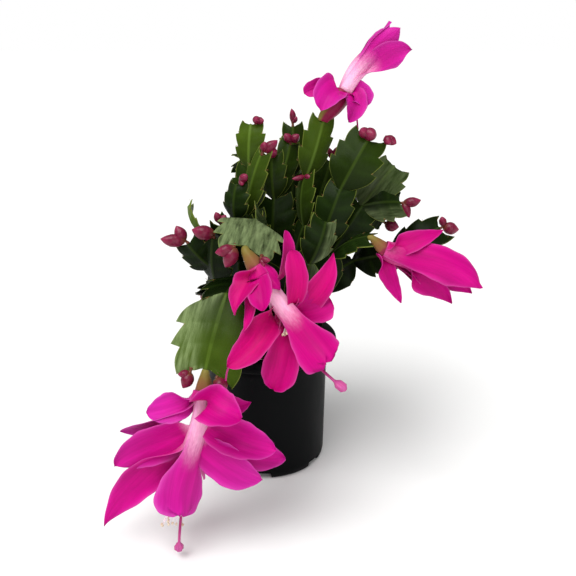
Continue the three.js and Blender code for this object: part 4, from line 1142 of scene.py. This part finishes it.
# For each form of petal: its outline, as (place along it, share of its width), the stretch along which its
# colour comes to the full, how far its root stands off the tube's wall, whether it clings to the tube up to
# its mouth, and how far it is turned to its facing already at its root.
PETAL_SHAPES = {
    "sessile": (
        [(0, 0.3), (0.12, 0.6), (0.32, 0.94), (0.55, 1), (0.76, 0.88), (0.9, 0.56), (0.97, 0.26), (1, 0.03)],
        (0, 0.25), 0, False, 0.85,
    ),
    "broad": (
        [(0, 0.42), (0.15, 0.6), (0.35, 0.9), (0.58, 1), (0.76, 0.9), (0.9, 0.6), (0.97, 0.3), (1, 0.05)],
        (0, 0.25), 0, False, 0,
    ),
    "blunt": (
        [(0, 0.44), (0.2, 0.54), (0.4, 0.76), (0.62, 0.97), (0.8, 0.98), (0.92, 0.76), (0.98, 0.45),
         (1, 0.15)],
        (0, 0.25), 0, False, 0,
    ),
    "pointed": (
        [(0, 0.42), (0.18, 0.7), (0.38, 0.98), (0.58, 0.96), (0.78, 0.66), (0.92, 0.28), (1, 0.02)],
        (0, 0.25), 0, False, 0,
    ),
    "hood": (
        [(0, 0.7), (0.15, 0.85), (0.35, 1), (0.58, 1), (0.78, 0.86), (0.91, 0.55), (0.97, 0.28), (1, 0.08)],
        (0, 0.2), 1.0, False, 0,
    ),
    "cape": (
        [(0, 0.85), (0.2, 0.95), (0.4, 1), (0.6, 0.88), (0.8, 0.54), (0.93, 0.22), (1, 0.02)],
        (0, 0.3), 0.8, False, 0.3,
    ),
    "lip": (
        [(0, 0.42), (0.3, 0.42), (0.5, 0.54), (0.66, 0.84), (0.8, 1), (0.9, 0.93), (0.96, 0.7), (1, 0.3)],
        (0.26, 0.57), 0.9, True, 0,
    ),
    "mantle": (
        [(0, 0.5), (0.2, 0.62), (0.4, 0.88), (0.58, 1), (0.76, 0.86), (0.9, 0.5), (0.97, 0.2), (1, 0.03)],
        (0, 0.3), 0.9, True, 0,
    ),
    "sheath": (
        [(0, 0.5), (0.25, 0.55), (0.45, 0.8), (0.62, 1), (0.77, 0.82), (0.9, 0.42), (0.97, 0.15), (1, 0.02)],
        (0.12, 0.56), 0.3, True, 0,
    ),
}
CLING = 0.67  # how far along what is left of the tube such a petal heads
PALEST = 0.45  # where along the tube it is palest
SINK_OUT = 1.8  # where a petal heads from: out from the tube's middle, and on along it
SINK_ON = 3.0
ROOT_SUNK = 0.2  # how deep its root lies in the tube's wall
ROOT_BACK = 2.0  # and how far back along it
FLUSH_LEAST = 4.5  # how far it runs on along the tube before it bends
PETAL_CURL = 0.1  # how far a petal's margins rise. This and the next three are shares of its width
RIPPLE = 0.06  # how far they wave up and down
RECURVE = 0.07  # how far its end rolls back
NOTCH = 0.045  # how deep the ragged end of a lip is
FRILLS = ((0.05, 2.3), (0.03, 5.7))  # how much the outline wavers, and how often along it
PLEAT = 0.13  # how deep the lengthwise pleats are
PLEATS = 5  # how many there are from margin to margin


def bezier(points, t):
    """The cubic curve of four points, which weigh (1-t)^3, 3t(1-t)^2, 3t^2(1-t) and t^3, and its way."""
    a, b, c, d = points
    r = 1 - t
    way = r * r * (b - a) + 2 * r * t * (c - b) + t * t * (d - c)
    return r**3 * a + 3 * r * r * t * b + 3 * r * t * t * c + t**3 * d, unit(way)


def petal_line(tube, flower, plan, t):
    """A petal's middle line, which starts flush along the tube, at the tube's radius, and is a cubic curve
    that then bends to the angle lift, or to a point, and on to the tip. Its normal turns from that of the
    curve to the given facing. Gives the line, its way, its normal, the way out of the tube, how far its root
    is from the tube's middle, and its size."""
    station, tip, _, lift, face, shape, wrapped = plan
    _, _, proud, clings, turned_share = PETAL_SHAPES[shape]
    tip = vec(*tip)
    hug = float(smooth(TUBE_RADII, np.array(station))) * flower["girth"] + proud
    leaves = 1.0 if clings else station
    middle, axis = arc_point(*tube, leaves), arc_way(*tube, leaves)
    aimed = isinstance(lift, tuple)
    radial = square_to(axis, (vec(*lift) if aimed else tip) - middle)
    inner = middle + radial * SINK_OUT + axis * SINK_ON
    size = np.linalg.norm(tip - inner)
    if aimed:
        bend = vec(*lift)
    else:
        angle = math.radians(lift)
        bend = inner + (axis * math.cos(angle) + radial * math.sin(angle)) * size / 2
    start, onward = arc_point(*tube, station), arc_way(*tube, station)
    root = start + square_to(onward, radial) * (hug - ROOT_SUNK) - onward * ROOT_BACK
    guide = root + onward * max(FLUSH_LEAST, 0.35 * size * step(0.5, 0.9, wrapped))
    if clings:
        further = station + CLING * (1 - station)
        out = square_to(arc_way(*tube, further), radial)
        guide = arc_point(*tube, further) + out * (hug - ROOT_SUNK)
    path, way = bezier((root, guide, tip + (bend - tip) * 0.8, tip), t)
    normal = unit(np.cross(way, unit(np.cross(axis, radial))))
    if face is not None:
        share = turned_share + (1 - turned_share) * step(0.0, 0.65, t)
        normal = unit(normal * (1 - share) + square_to(way, vec(*face)) * share)
    return path, way, normal, radial, hug, size


def petal(tube, flower, plan, s, seed, rows=40, around=36):
    """A petal that grows out of the tube's wall, as planned in FLOWERS. Its half width follows the outline
    and is frilled a little. At the root its section is an arc round the tube, which opens out along the
    stretch that stays wrapped; past that its margins rise with the square of the distance out. Shallow
    pleats run lengthwise."""
    draw = np.random.default_rng(seed)
    station, _, width, _, _, shape, wrapped = plan
    knots, full, _, clings, _ = PETAL_SHAPES[shape]
    t = np.sin(np.linspace(0, math.pi / 2, rows))[:, None]
    path, way, normal, radial, hug, size = petal_line(tube, flower, plan, t)
    beside = np.cross(way, normal)
    across, side, round_off = slab_columns(around, 0.85)
    out = np.abs(across)
    lobe = (across > 0).astype(int)
    phases = draw.uniform(0, 2 * math.pi, 6)
    wavers = [
        share * np.sin(2 * math.pi * often * t + phases[2 * i + lobe])
        for i, (share, often) in enumerate(FRILLS)
    ]
    outline = smooth(knots, t)
    x = across * (outline * width / 2) * (1 + sum(wavers) * t * out**3)
    wrap = 1 - step(0.0, wrapped, t)
    turn = np.clip(x / hug * wrap, -1.5, 1.5)
    ratio = np.where(np.abs(turn) > 0.01, np.sin(turn) / np.where(turn == 0, 1, turn), 1)
    drop = hug * (1 - np.cos(turn))
    ripple = RIPPLE * width * np.sin(2 * math.pi * 1.6 * t + phases[4] + lobe * 1.7) * out**2.2
    pleats = PLEAT * np.cos(math.pi * PLEATS * across + phases[5]) * step(0, 0.3, t) * (1 - out**2)
    crease = draw.uniform(0.02, 0.13) * width * (out - 0.3) * step(wrapped * 0.5, wrapped + 0.2, t)
    recurve = -RECURVE * width * step(0.7, 1.0, t) * draw.uniform(0.2, 1.6)
    rise = PETAL_CURL * width * outline * out**2 * (1 - wrap)
    edge, body = s.margin / MM, s.body / MM
    thick = (edge + (body - edge) * (1 - out**1.5)) * (1 - 0.5 * step(0.85, 1, t))
    z = rise + ripple * step(0.15, 0.6, t) + pleats + crease + recurve + side * thick * round_off / 2
    rings = path[:, None] + beside[:, None] * (x * ratio)[..., None] + normal[:, None] * z[..., None]
    rings = rings - radial * drop[..., None]
    if shape == "lip":
        ragged = np.sin(9 * across + phases[5]) + 0.6 * np.sin(23 * across + phases[0])
        rings = rings + way[:, None] * (NOTCH * width * ragged * step(0.75, 1, t))[..., None]
    blush = float(tube_blush(np.array(PALEST if clings else station), flower["pale"]))
    warm = blush + (1 - blush) * step(*full, t + 0.16 * full[1] * out**2)
    tint = flower["tint"] + draw.uniform(-0.15, 0.15) + 0.12 * out**3 + 0.2 * (t - 0.5)
    return loft(
        rings, blush=warm, across=x, along=t * size, tint=np.clip(tint, 0, 1), edge=out**14 + 0 * t
    )


def tube_blush(t, pale):
    """How much of the petals' colour the tube has at t: it is least past the crown, by the share pale."""
    return 1 - pale * (1 - smooth(TUBE_BLUSH, t))


def flower_tube(crown, elbow, mouth, flower, around=40, rows=26):
    """The tube, with an open mouth: circles along a curve go out along its outside and come back along its
    inside to half its depth. Five soft flutes run along it."""
    t = np.concatenate([np.linspace(0, 1, rows), np.linspace(0.995, 0.45, rows // 2)])[:, None]
    inside = (np.arange(len(t)) >= rows)[:, None]
    turn = circle(around)
    flutes = 1 + 0.05 * np.cos(TUBE_FLUTES * turn) * step(0.1, 0.5, t)
    radii = smooth(TUBE_RADII, t) * flower["girth"] * flutes - TUBE_WALL * inside
    tube = (crown, elbow, mouth)
    rings = rings_round(arc_point(*tube, t), arc_way(*tube, t), radii, around)
    along = t * np.linalg.norm(mouth - crown)
    blush = tube_blush(t, flower["pale"])
    return loft(rings, blush=blush, across=turn * 4, along=along, tint=flower["tint"], edge=0.0)


OVARY_CLEAR = 1.2  # from a segment's tip to where the ovary starts


def flower_frame(flower, blade):
    """Where a flower's ovary starts, and its tube: its crown, the point that it heads for and its mouth."""
    crown, mouth = vec(*flower["crown"]), vec(*flower["mouth"])
    heel = blade.end + blade.along * OVARY_CLEAR
    way = unit(crown - heel)
    elbow = flower["elbow"] or crown + way * np.linalg.norm(mouth - crown) / 2
    return heel, (crown, np.asarray(elbow, float), mouth)


def placed_flowers():
    """Each flower: its name, its plan, the segment that carries it, its ovary's start and its tube."""
    stems = all_stems()
    for name, flower in FLOWERS.items():
        blade = segment_at(stems, *flower["stem"])
        yield name, flower, blade, *flower_frame(flower, blade)


def ovary(heel, crown, radii, along_segment, flush):
    """The ovary: a cone that widens from the segment's tip to the crown, with five soft ribs and the small
    scales that ring its top. flush is how crimson it is, all round but on its left."""
    s = np.linspace(0, 1, 24)[:, None]
    turn = circle(36)
    back = along_segment * 1.5 * (1 - np.minimum(1, s * 8))
    path = heel - back + (crown - heel) * np.maximum(0, s * 1.06 - 0.06)
    wide = smooth([(0, radii[0] * 0.8), (0.1, radii[0]), (0.45, radii[1]), (1, radii[2])], s)
    ribs = 1 + 0.035 * np.cos(5 * turn) * step(0.1, 0.5, s) + 0.05 * np.exp(-(((s - 0.93) / 0.05) ** 2))
    return pipe(path, wide * ribs, 36, along=s, flush=flush * step(0.6, 0.0, np.sin(turn)) + 0 * s)


class CACTUS_OT_ovaries(bpy.types.Operator):
    """Join each flower to its stem by its ovary"""

    bl_idname = "cactus.ovaries"
    bl_label = "Ovaries"

    def execute(self, context):
        material = fleshy_ovary(context.scene.cactus_flowers)
        for name, flower, blade, heel, tube in placed_flowers():
            shell = ovary(heel, tube[0], flower["ovary"], blade.along, flower["flush"])
            add_piece(f"ovary_{name}", [shell], material, "ovary", f"flower_{name}_ovary")
        return {"FINISHED"}


class CACTUS_OT_corollas(bpy.types.Operator):
    """Open the flowers: their tubes and petals"""

    bl_idname = "cactus.corollas"
    bl_label = "Corollas"

    def execute(self, context):
        settings = context.scene.cactus_flowers
        material = petal_tissue(settings)
        for index, (name, flower, _, _, tube) in enumerate(placed_flowers()):
            shells = [flower_tube(*tube, flower)]
            for k, plan in enumerate(flower["petals"]):
                shells.append(petal(tube, flower, plan, settings, SEEDS["petal"] + 100 * index + k))
            add_piece(f"corolla_{name}", shells, material, "petal", f"flower_{name}_corolla")
        return {"FINISHED"}


STYLE_ROOT = 0.8  # where along the tube the style and the stamens come free
STYLE_RADIUS = 0.62
# How much the style widens at its stigma, its lobes, and from how far before the end it swells.
STIGMA = {"swell": 1.0, "lobes": 6, "lobing": 0.28, "from": (5.6, 3.4)}
FILAMENT_RADII = (0.28, 0.18)  # at its root and at its anther
FILAMENT_SPREAD = (2.0, 5.0)  # how far one spreads by its end, at least and at most
ANTHER = {"length": 1.5, "radius": 0.5}


def style_shell(tube, style, rows=60, around=24):
    """The style: a thread along a quadratic curve that swells at its end into a stigma of lobes."""
    start, heading, end = arc_point(*tube, STYLE_ROOT), vec(*style[0]), vec(*style[1])
    t = np.linspace(0, 1, rows)[:, None] ** 0.8
    left = (1 - t) * np.linalg.norm(end - start)
    head = step(*STIGMA["from"], left) * step(-0.2, 1.2, left)
    lobes = 1 + STIGMA["lobing"] * np.cos(STIGMA["lobes"] * circle(around)) * head
    radii = (STYLE_RADIUS + STIGMA["swell"] * head) * lobes
    return pipe(arc_point(start, heading, end, t), radii, around, along=t)


def stamens(tube, style, share, lean, count, seed):
    """Filaments in a bundle round the style, each a thin tube that runs along the first part of the style's
    curve, spreads away from it with the square of the way gone and leans to one side, and the oval anthers at
    their ends."""
    draw = np.random.default_rng(seed)
    curve = arc_point(*tube, STYLE_ROOT), vec(*style[0]), vec(*style[1])
    threads, tips = [], []
    for turn in np.linspace(0, 2 * math.pi, count, endpoint=False) + draw.uniform(-0.1, 0.1, count):
        t = np.linspace(0, share * draw.uniform(0.68, 1), 14)[:, None]
        way = arc_way(*curve, t)
        side = square_to(way, ASIDE)
        out = side * math.cos(turn) + np.cross(way, side) * math.sin(turn)
        gone = (t / share) ** 2
        spread = out * (0.9 + draw.uniform(*FILAMENT_SPREAD) * gone)
        path = arc_point(*curve, t) + spread + vec(*lean) * gone
        threads.append(pipe(path, np.linspace(*FILAMENT_RADII, 14), 6, along=t))
        end = unit(path[-1] - path[-2])
        s = np.linspace(0, 1, 6)
        oval = path[-1] - end * 0.3 + end * ANTHER["length"] * s[:, None]
        round_off = np.sqrt(np.clip(1 - (2 * s - 1) ** 2, 0.05, 1))
        tips.append(pipe(oval, ANTHER["radius"] * round_off, 8))
    return threads, tips


# Dry threads that hang from a flower: from, towards and to, in millimetres, and the radius.
STRAYS = {
    "top": ((44.5, 9, 186), (45.8, 7.5, 181), (46.3, 8, 174.6), 0.42),
    "middle": ((-11.6, -89.2, 92.3), (-12.6, -89.6, 90.5), (-13, -88.5, 86.2), 0.4),
}


class CACTUS_OT_stamens(bpy.types.Operator):
    """Add the styles and stamens of the open flowers, and the stray threads"""

    bl_idname = "cactus.stamens"
    bl_label = "Styles and stamens"

    def execute(self, context):
        pink = thread_tissue("style_tissue")
        white = thread_tissue("filament_tissue")
        pollen = grain_material("pollen_sacs")
        count = context.scene.cactus_flowers.stamens
        for index, (name, flower, _, _, tube) in enumerate(placed_flowers()):
            if flower["style"]:
                add_piece(f"style_{name}", [style_shell(tube, flower["style"])], pink, "petal")
                bundle = (*flower["stamens"], count, SEEDS["stamens"] + index)
                threads, tips = stamens(tube, flower["style"], *bundle)
                add_piece(f"filaments_{name}", threads, white, "petal")
                add_piece(f"anthers_{name}", tips, pollen, "petal")
        t = np.linspace(0, 1, 16)[:, None]
        for name, (start, heading, end, radius) in STRAYS.items():
            path = arc_point(vec(*start), vec(*heading), vec(*end), t)
            add_piece(f"stray_{name}", [pipe(path, np.full(16, radius), 10, along=t * 0.6)], pink, "petal")
        return {"FINISHED"}


# ---- pot and compost ---------------------------------------------------------------------------------
LIP_DROP = 6.0  # from the pot's top to the underside of its rolled lip
LIP_EDGE = 1.3  # radius of the lip's edges
HEEL_OUT = 0.9  # how far the wall stands out just above the foot
BEAD = (4.0, 0.12)  # a moulded line round the wall: how far under the lip, and how proud
FLOOR = 2.0  # thickness of the pot's floor
SLOT_COUNT = 6
SLOT_WIDTH = 10.0
SLOT_HEIGHT = 3.5
SLOT_INNER = 25.6  # radius where a slot begins
SLOT_FIRST = -33.0  # degrees from +X
SLOT_COLUMNS = 8  # faces across a slot
SPAN_COLUMNS = 39  # and between two slots


def quarter(centre, radius, start, points=5):
    """Points on a quarter of a circle in the profile's plane, anticlockwise from the angle start."""
    t = np.radians(start + np.linspace(0, 90, points))
    return [(centre[0] + radius * math.cos(a), centre[1] + radius * math.sin(a)) for a in t]


def pot_profile(s):
    """The pot's section from the middle of its underside round the lip to the middle of its floor, with the
    rows where a drainage slot runs outside and inside, which are as many."""
    height, lip, top, foot_r = (v / MM for v in (s.height, s.lip_radius, s.top_radius, s.foot_radius))
    wall = s.wall / MM
    under = height - LIP_DROP

    def outside(z):
        """The wall's outer radius at a height."""
        return foot_r + HEEL_OUT + (top - foot_r - HEEL_OUT) * z / under

    low = [(radius, 0) for radius in (2, 12, 20)]
    slot_out = [(SLOT_INNER, 0), (foot_r - 1, 0), (foot_r - 0.2, 0.3), (foot_r + 0.5, 1.3)]
    slot_out += [(outside(SLOT_HEIGHT), SLOT_HEIGHT)]
    bead = under - BEAD[0]
    walls = [(outside(z), z) for z in (4.5, 8, 16, 26, 36, 46, bead - 1.2)]
    walls += [(outside(bead) + BEAD[1], z) for z in (bead - 0.5, bead + 0.5)]
    walls += [(outside(z), z) for z in (bead + 1.2, under - 0.6)]
    walls += [(top + 0.3, under - 0.1)]
    rolled = [(lip - 2.6, under)] + quarter((lip - LIP_EDGE, under + LIP_EDGE), LIP_EDGE, -90)
    rolled += [(lip, height - 3.2)] + quarter((lip - LIP_EDGE, height - LIP_EDGE), LIP_EDGE, 0)
    rolled += [(top + 1, height)] + quarter((top + 0.3, height - 1.2), 1.2, 90, 4)[1:]
    inner = [(outside(z) - wall, z) for z in (height - 7, 52, 40, 28, 16, 8, 4.5)]
    slot_in = [(outside(SLOT_HEIGHT) - wall, SLOT_HEIGHT), (foot_r - wall + 0.3, 2.8)]
    slot_in += [(foot_r - wall - 0.3, 2.3), (foot_r - wall - 1.4, FLOOR), (SLOT_INNER, FLOOR)]
    end = [(radius, FLOOR) for radius in (20, 12, 2)]
    first = len(low)
    second = first + len(slot_out) + len(walls) + len(rolled) + len(inner)
    points = low + slot_out + walls + rolled + inner + slot_in + end
    return np.array(points, float), first, second, len(slot_out)


def turned_profile(profile, turn):
    """The rings of a profile, as (radius, height) in each row, turned round +Z through the given angles."""
    radius, height = profile[:, :1], profile[:, 1:]
    return np.stack([radius * np.cos(turn), radius * np.sin(turn), height + 0 * turn], -1)


def pot_shell(s):
    """The pot: its profile turned round the axis. Over each slot the faces of the outside and the inside
    are left out, and walls join the two round the opening."""
    profile, first, second, rows = pot_profile(s)
    half = math.degrees(math.asin(SLOT_WIDTH / 2 / (s.foot_radius / MM)))
    pitch = 360 / SLOT_COUNT
    turns = []
    for middle in SLOT_FIRST + pitch * np.arange(SLOT_COUNT):
        turns += list(np.linspace(middle - half, middle + half, SLOT_COLUMNS + 1)[:-1])
        turns += list(np.linspace(middle + half, middle + pitch - half, SPAN_COLUMNS + 1)[:-1])
    whole = loft(turned_profile(profile, np.radians(turns)))

    around = len(turns)
    per_slot = SLOT_COLUMNS + SPAN_COLUMNS
    in_slot = np.arange(around) % per_slot < SLOT_COLUMNS
    cell = np.arange(len(profile) - 1)[:, None]
    cut_row = ((cell >= first) & (cell < first + rows - 1)) | ((cell >= second) & (cell < second + rows - 1))
    keep = ~(cut_row & in_slot[None]).reshape(-1)
    index = np.arange(len(profile) * around).reshape(len(profile), around)
    outer = index[first : first + rows]
    inner = index[second : second + rows][::-1]
    walls = []

    def wall(here, there, turned_round):
        """One face of a slot's side, from the outside to the inside."""
        face = [outer[here], outer[there], inner[there], inner[here]]
        walls.append(face if turned_round else face[::-1])

    for left in range(0, around, per_slot):
        right = left + SLOT_COLUMNS
        for k in range(rows - 1):
            wall((k, left), (k + 1, left), False)
            wall((k, right), (k + 1, right), True)
        for column in range(left, right):
            wall((0, column), (0, column + 1), True)
            wall((rows - 1, column), (rows - 1, column + 1), False)
    whole.quads = np.concatenate([whole.quads[keep], np.array(walls)])
    return whole


class CACTUS_OT_pot(bpy.types.Operator):
    """Turn the nursery pot"""

    bl_idname = "cactus.pot"
    bl_label = "Pot"

    def execute(self, context):
        settings = context.scene.cactus_pot
        piece = add_piece("nursery_pot", [pot_shell(settings)], moulded_plastic(settings), "pot", "pot")
        piece.data.set_sharp_from_angle(angle=math.radians(40))
        return {"FINISHED"}


CRUMBS = (12.0, 1.6)  # the longest and the shortest wave of the compost's surface, in millimetres
COMPOST_EDGE = 31.2  # radius at which the crumbs have died away against the wall
GRAIN_REACH = 29.5  # radius within which grains lie
GRAINS = {"perlite": (0.7, 1.7, 0.8), "bark_chips": (0.8, 2.4, 0.45)}  # least and greatest radius, flatness


def compost_shell(level, crumb):
    """The compost: rings from the floor's middle out, up the pot's inside and back in over the top, where a
    sum of waves raises it in crumbs."""
    side = [(2, 2.4), (28, 2.4), (29.6, 5), (30.6, 30), (31.0, level - 1.5), (31.1, level - 0.6)]
    top = [(radius, level) for radius in np.linspace(30.8, 0.6, 64)]
    profile = np.array(side + top)
    rings = turned_profile(profile, circle(180))
    rough = Waves(SEEDS["crumbs"], *CRUMBS)(rings[len(side) :]) * crumb
    rings[len(side) :, :, 2] += rough * step(COMPOST_EDGE, 28, profile[len(side) :, :1])
    return loft(rings)


class CACTUS_OT_compost(bpy.types.Operator):
    """Fill the pot with compost, perlite and bark"""

    bl_idname = "cactus.compost"
    bl_label = "Compost"

    def execute(self, context):
        settings = context.scene.cactus_compost
        level, crumb = settings.level / MM, settings.crumb / MM
        add_piece("compost", [compost_shell(level, crumb)], peat(settings), "soil", "soil")
        draw = np.random.default_rng(SEEDS["soil"])
        height = Waves(SEEDS["crumbs"], *CRUMBS)
        counts = {"perlite": settings.perlite, "bark_chips": settings.bark}
        for name, (low, high, flat) in GRAINS.items():
            material = grain_material(name)
            shells = []
            for i in range(counts[name]):
                radius, turn = GRAIN_REACH * math.sqrt(draw.uniform(0.01, 1)), draw.uniform(0, 2 * math.pi)
                place = vec(radius * math.cos(turn), radius * math.sin(turn), level)
                place[2] += float(height(place)) * crumb
                size = draw.uniform(low, high) * vec(1, draw.uniform(0.6, 1), flat)
                shells.append(lump(place, size, SEEDS["grain"] + i))
            if shells:
                add_piece(name, shells, material, "soil")
        return {"FINISHED"}


# ---- stage -------------------------------------------------------------------------------------------
CAMERA_PLACE = (0.012, -0.338, 0.213)
CAMERA_PITCH = 19.3  # degrees below level
CAMERA_LENS = 43.1  # millimetres on a 36 mm sensor
KEY_FROM = (-0.3, -0.45, 1.2)
KEY_SPREAD = 50.0  # degrees across, which softens its shadows as a large diffuser does
FILL_FROM = (0.25, -0.75, 0.3)
FILL_SIZE = 0.5
LOOK_AT = (0.0, 0.0, 0.12)


def aim(thing, place, target):
    """Puts a lamp at place, turned so that its -Z looks at target."""
    back = unit(np.subtract(place, target))
    right = unit(np.cross((0, 0, 1), back))
    up = np.cross(back, right)
    matrix = np.eye(4)
    matrix[:3, 0], matrix[:3, 1], matrix[:3, 2], matrix[:3, 3] = right, up, back, place
    thing.matrix_world = matrix.T.tolist()


class CACTUS_OT_stage(bpy.types.Operator):
    """Lay the floor and set the lights and the camera"""

    bl_idname = "cactus.stage"
    bl_label = "Stage"

    def execute(self, context):
        settings = context.scene.cactus_stage
        scene = context.scene
        half = settings.floor / 2
        mesh = bpy.data.meshes.new("floor")
        corners = [(-half, -half, 0), (half, -half, 0), (half, half, 0), (-half, half, 0)]
        mesh.from_pydata(corners, [], [(0, 1, 2, 3)])
        mesh.materials.append(matt_board(settings))
        floor = bpy.data.objects.new("floor", mesh)
        scene.collection.objects.link(floor)
        key = bpy.data.lights.new("key", "SUN")
        key.energy = settings.key
        key.angle = math.radians(KEY_SPREAD)
        fill = bpy.data.lights.new("fill", "AREA")
        fill.energy = settings.fill
        fill.size = FILL_SIZE
        for lamp, place in ((key, KEY_FROM), (fill, FILL_FROM)):
            shown = bpy.data.objects.new(lamp.name, lamp)
            scene.collection.objects.link(shown)
            aim(shown, place, LOOK_AT)
        world = bpy.data.worlds.new("studio")
        world.use_nodes = True
        tree = world.node_tree
        seen = add_node(tree, "LightPath", out="Is Camera Ray")
        # White where it shows, and weaker as a light.
        strength = add_node(tree, "MapRange", {"Value": seen, "To Min": settings.sky, "To Max": 1.0})
        tree.links.new(strength, tree.nodes["Background"].inputs["Strength"])
        tree.nodes["Background"].inputs["Color"].default_value = (1, 1, 1, 1)
        scene.world = world
        camera = bpy.data.objects.new("camera", bpy.data.cameras.new("camera"))
        camera.data.lens = CAMERA_LENS
        camera.data.clip_start = 0.01
        camera.location = CAMERA_PLACE
        camera.rotation_euler = (math.radians(90 - CAMERA_PITCH), 0, 0)
        scene.collection.objects.link(camera)
        scene.camera = camera
        scene.view_settings.view_transform = "Standard"
        return {"FINISHED"}


class CACTUS_PT_panel(bpy.types.Panel):
    """Lists the steps that build the plant"""

    bl_label = "Christmas Cactus"
    bl_space_type = "VIEW_3D"
    bl_region_type = "UI"
    bl_category = "Cactus"

    def draw(self, context):
        for operator in OPERATORS:
            self.layout.operator(operator.bl_idname)


SETTINGS = {
    "cactus_pot": PotSettings,
    "cactus_compost": CompostSettings,
    "cactus_stems": StemSettings,
    "cactus_flowers": FlowerSettings,
    "cactus_buds": BudSettings,
    "cactus_stage": StageSettings,
}
OPERATORS = (
    CACTUS_OT_stage,
    CACTUS_OT_pot,
    CACTUS_OT_compost,
    CACTUS_OT_stems,
    CACTUS_OT_areoles,
    CACTUS_OT_buds,
    CACTUS_OT_ovaries,
    CACTUS_OT_corollas,
    CACTUS_OT_stamens,
)


def register():
    """Adds the settings, the operators and the panel to Blender."""
    for name, group in SETTINGS.items():
        bpy.utils.register_class(group)
        setattr(bpy.types.Scene, name, PointerProperty(type=group))
    for kind in (*OPERATORS, CACTUS_PT_panel):
        bpy.utils.register_class(kind)


def unregister():
    """Takes them away again."""
    for kind in reversed((*OPERATORS, CACTUS_PT_panel)):
        bpy.utils.unregister_class(kind)
    for name, group in SETTINGS.items():
        delattr(bpy.types.Scene, name)
        bpy.utils.unregister_class(group)


def main():
    """Builds every piece in order."""
    register()
    for operator in OPERATORS:
        family, name = operator.bl_idname.split(".")
        getattr(getattr(bpy.ops, family), name)()


if __name__ == "__main__":
    main()
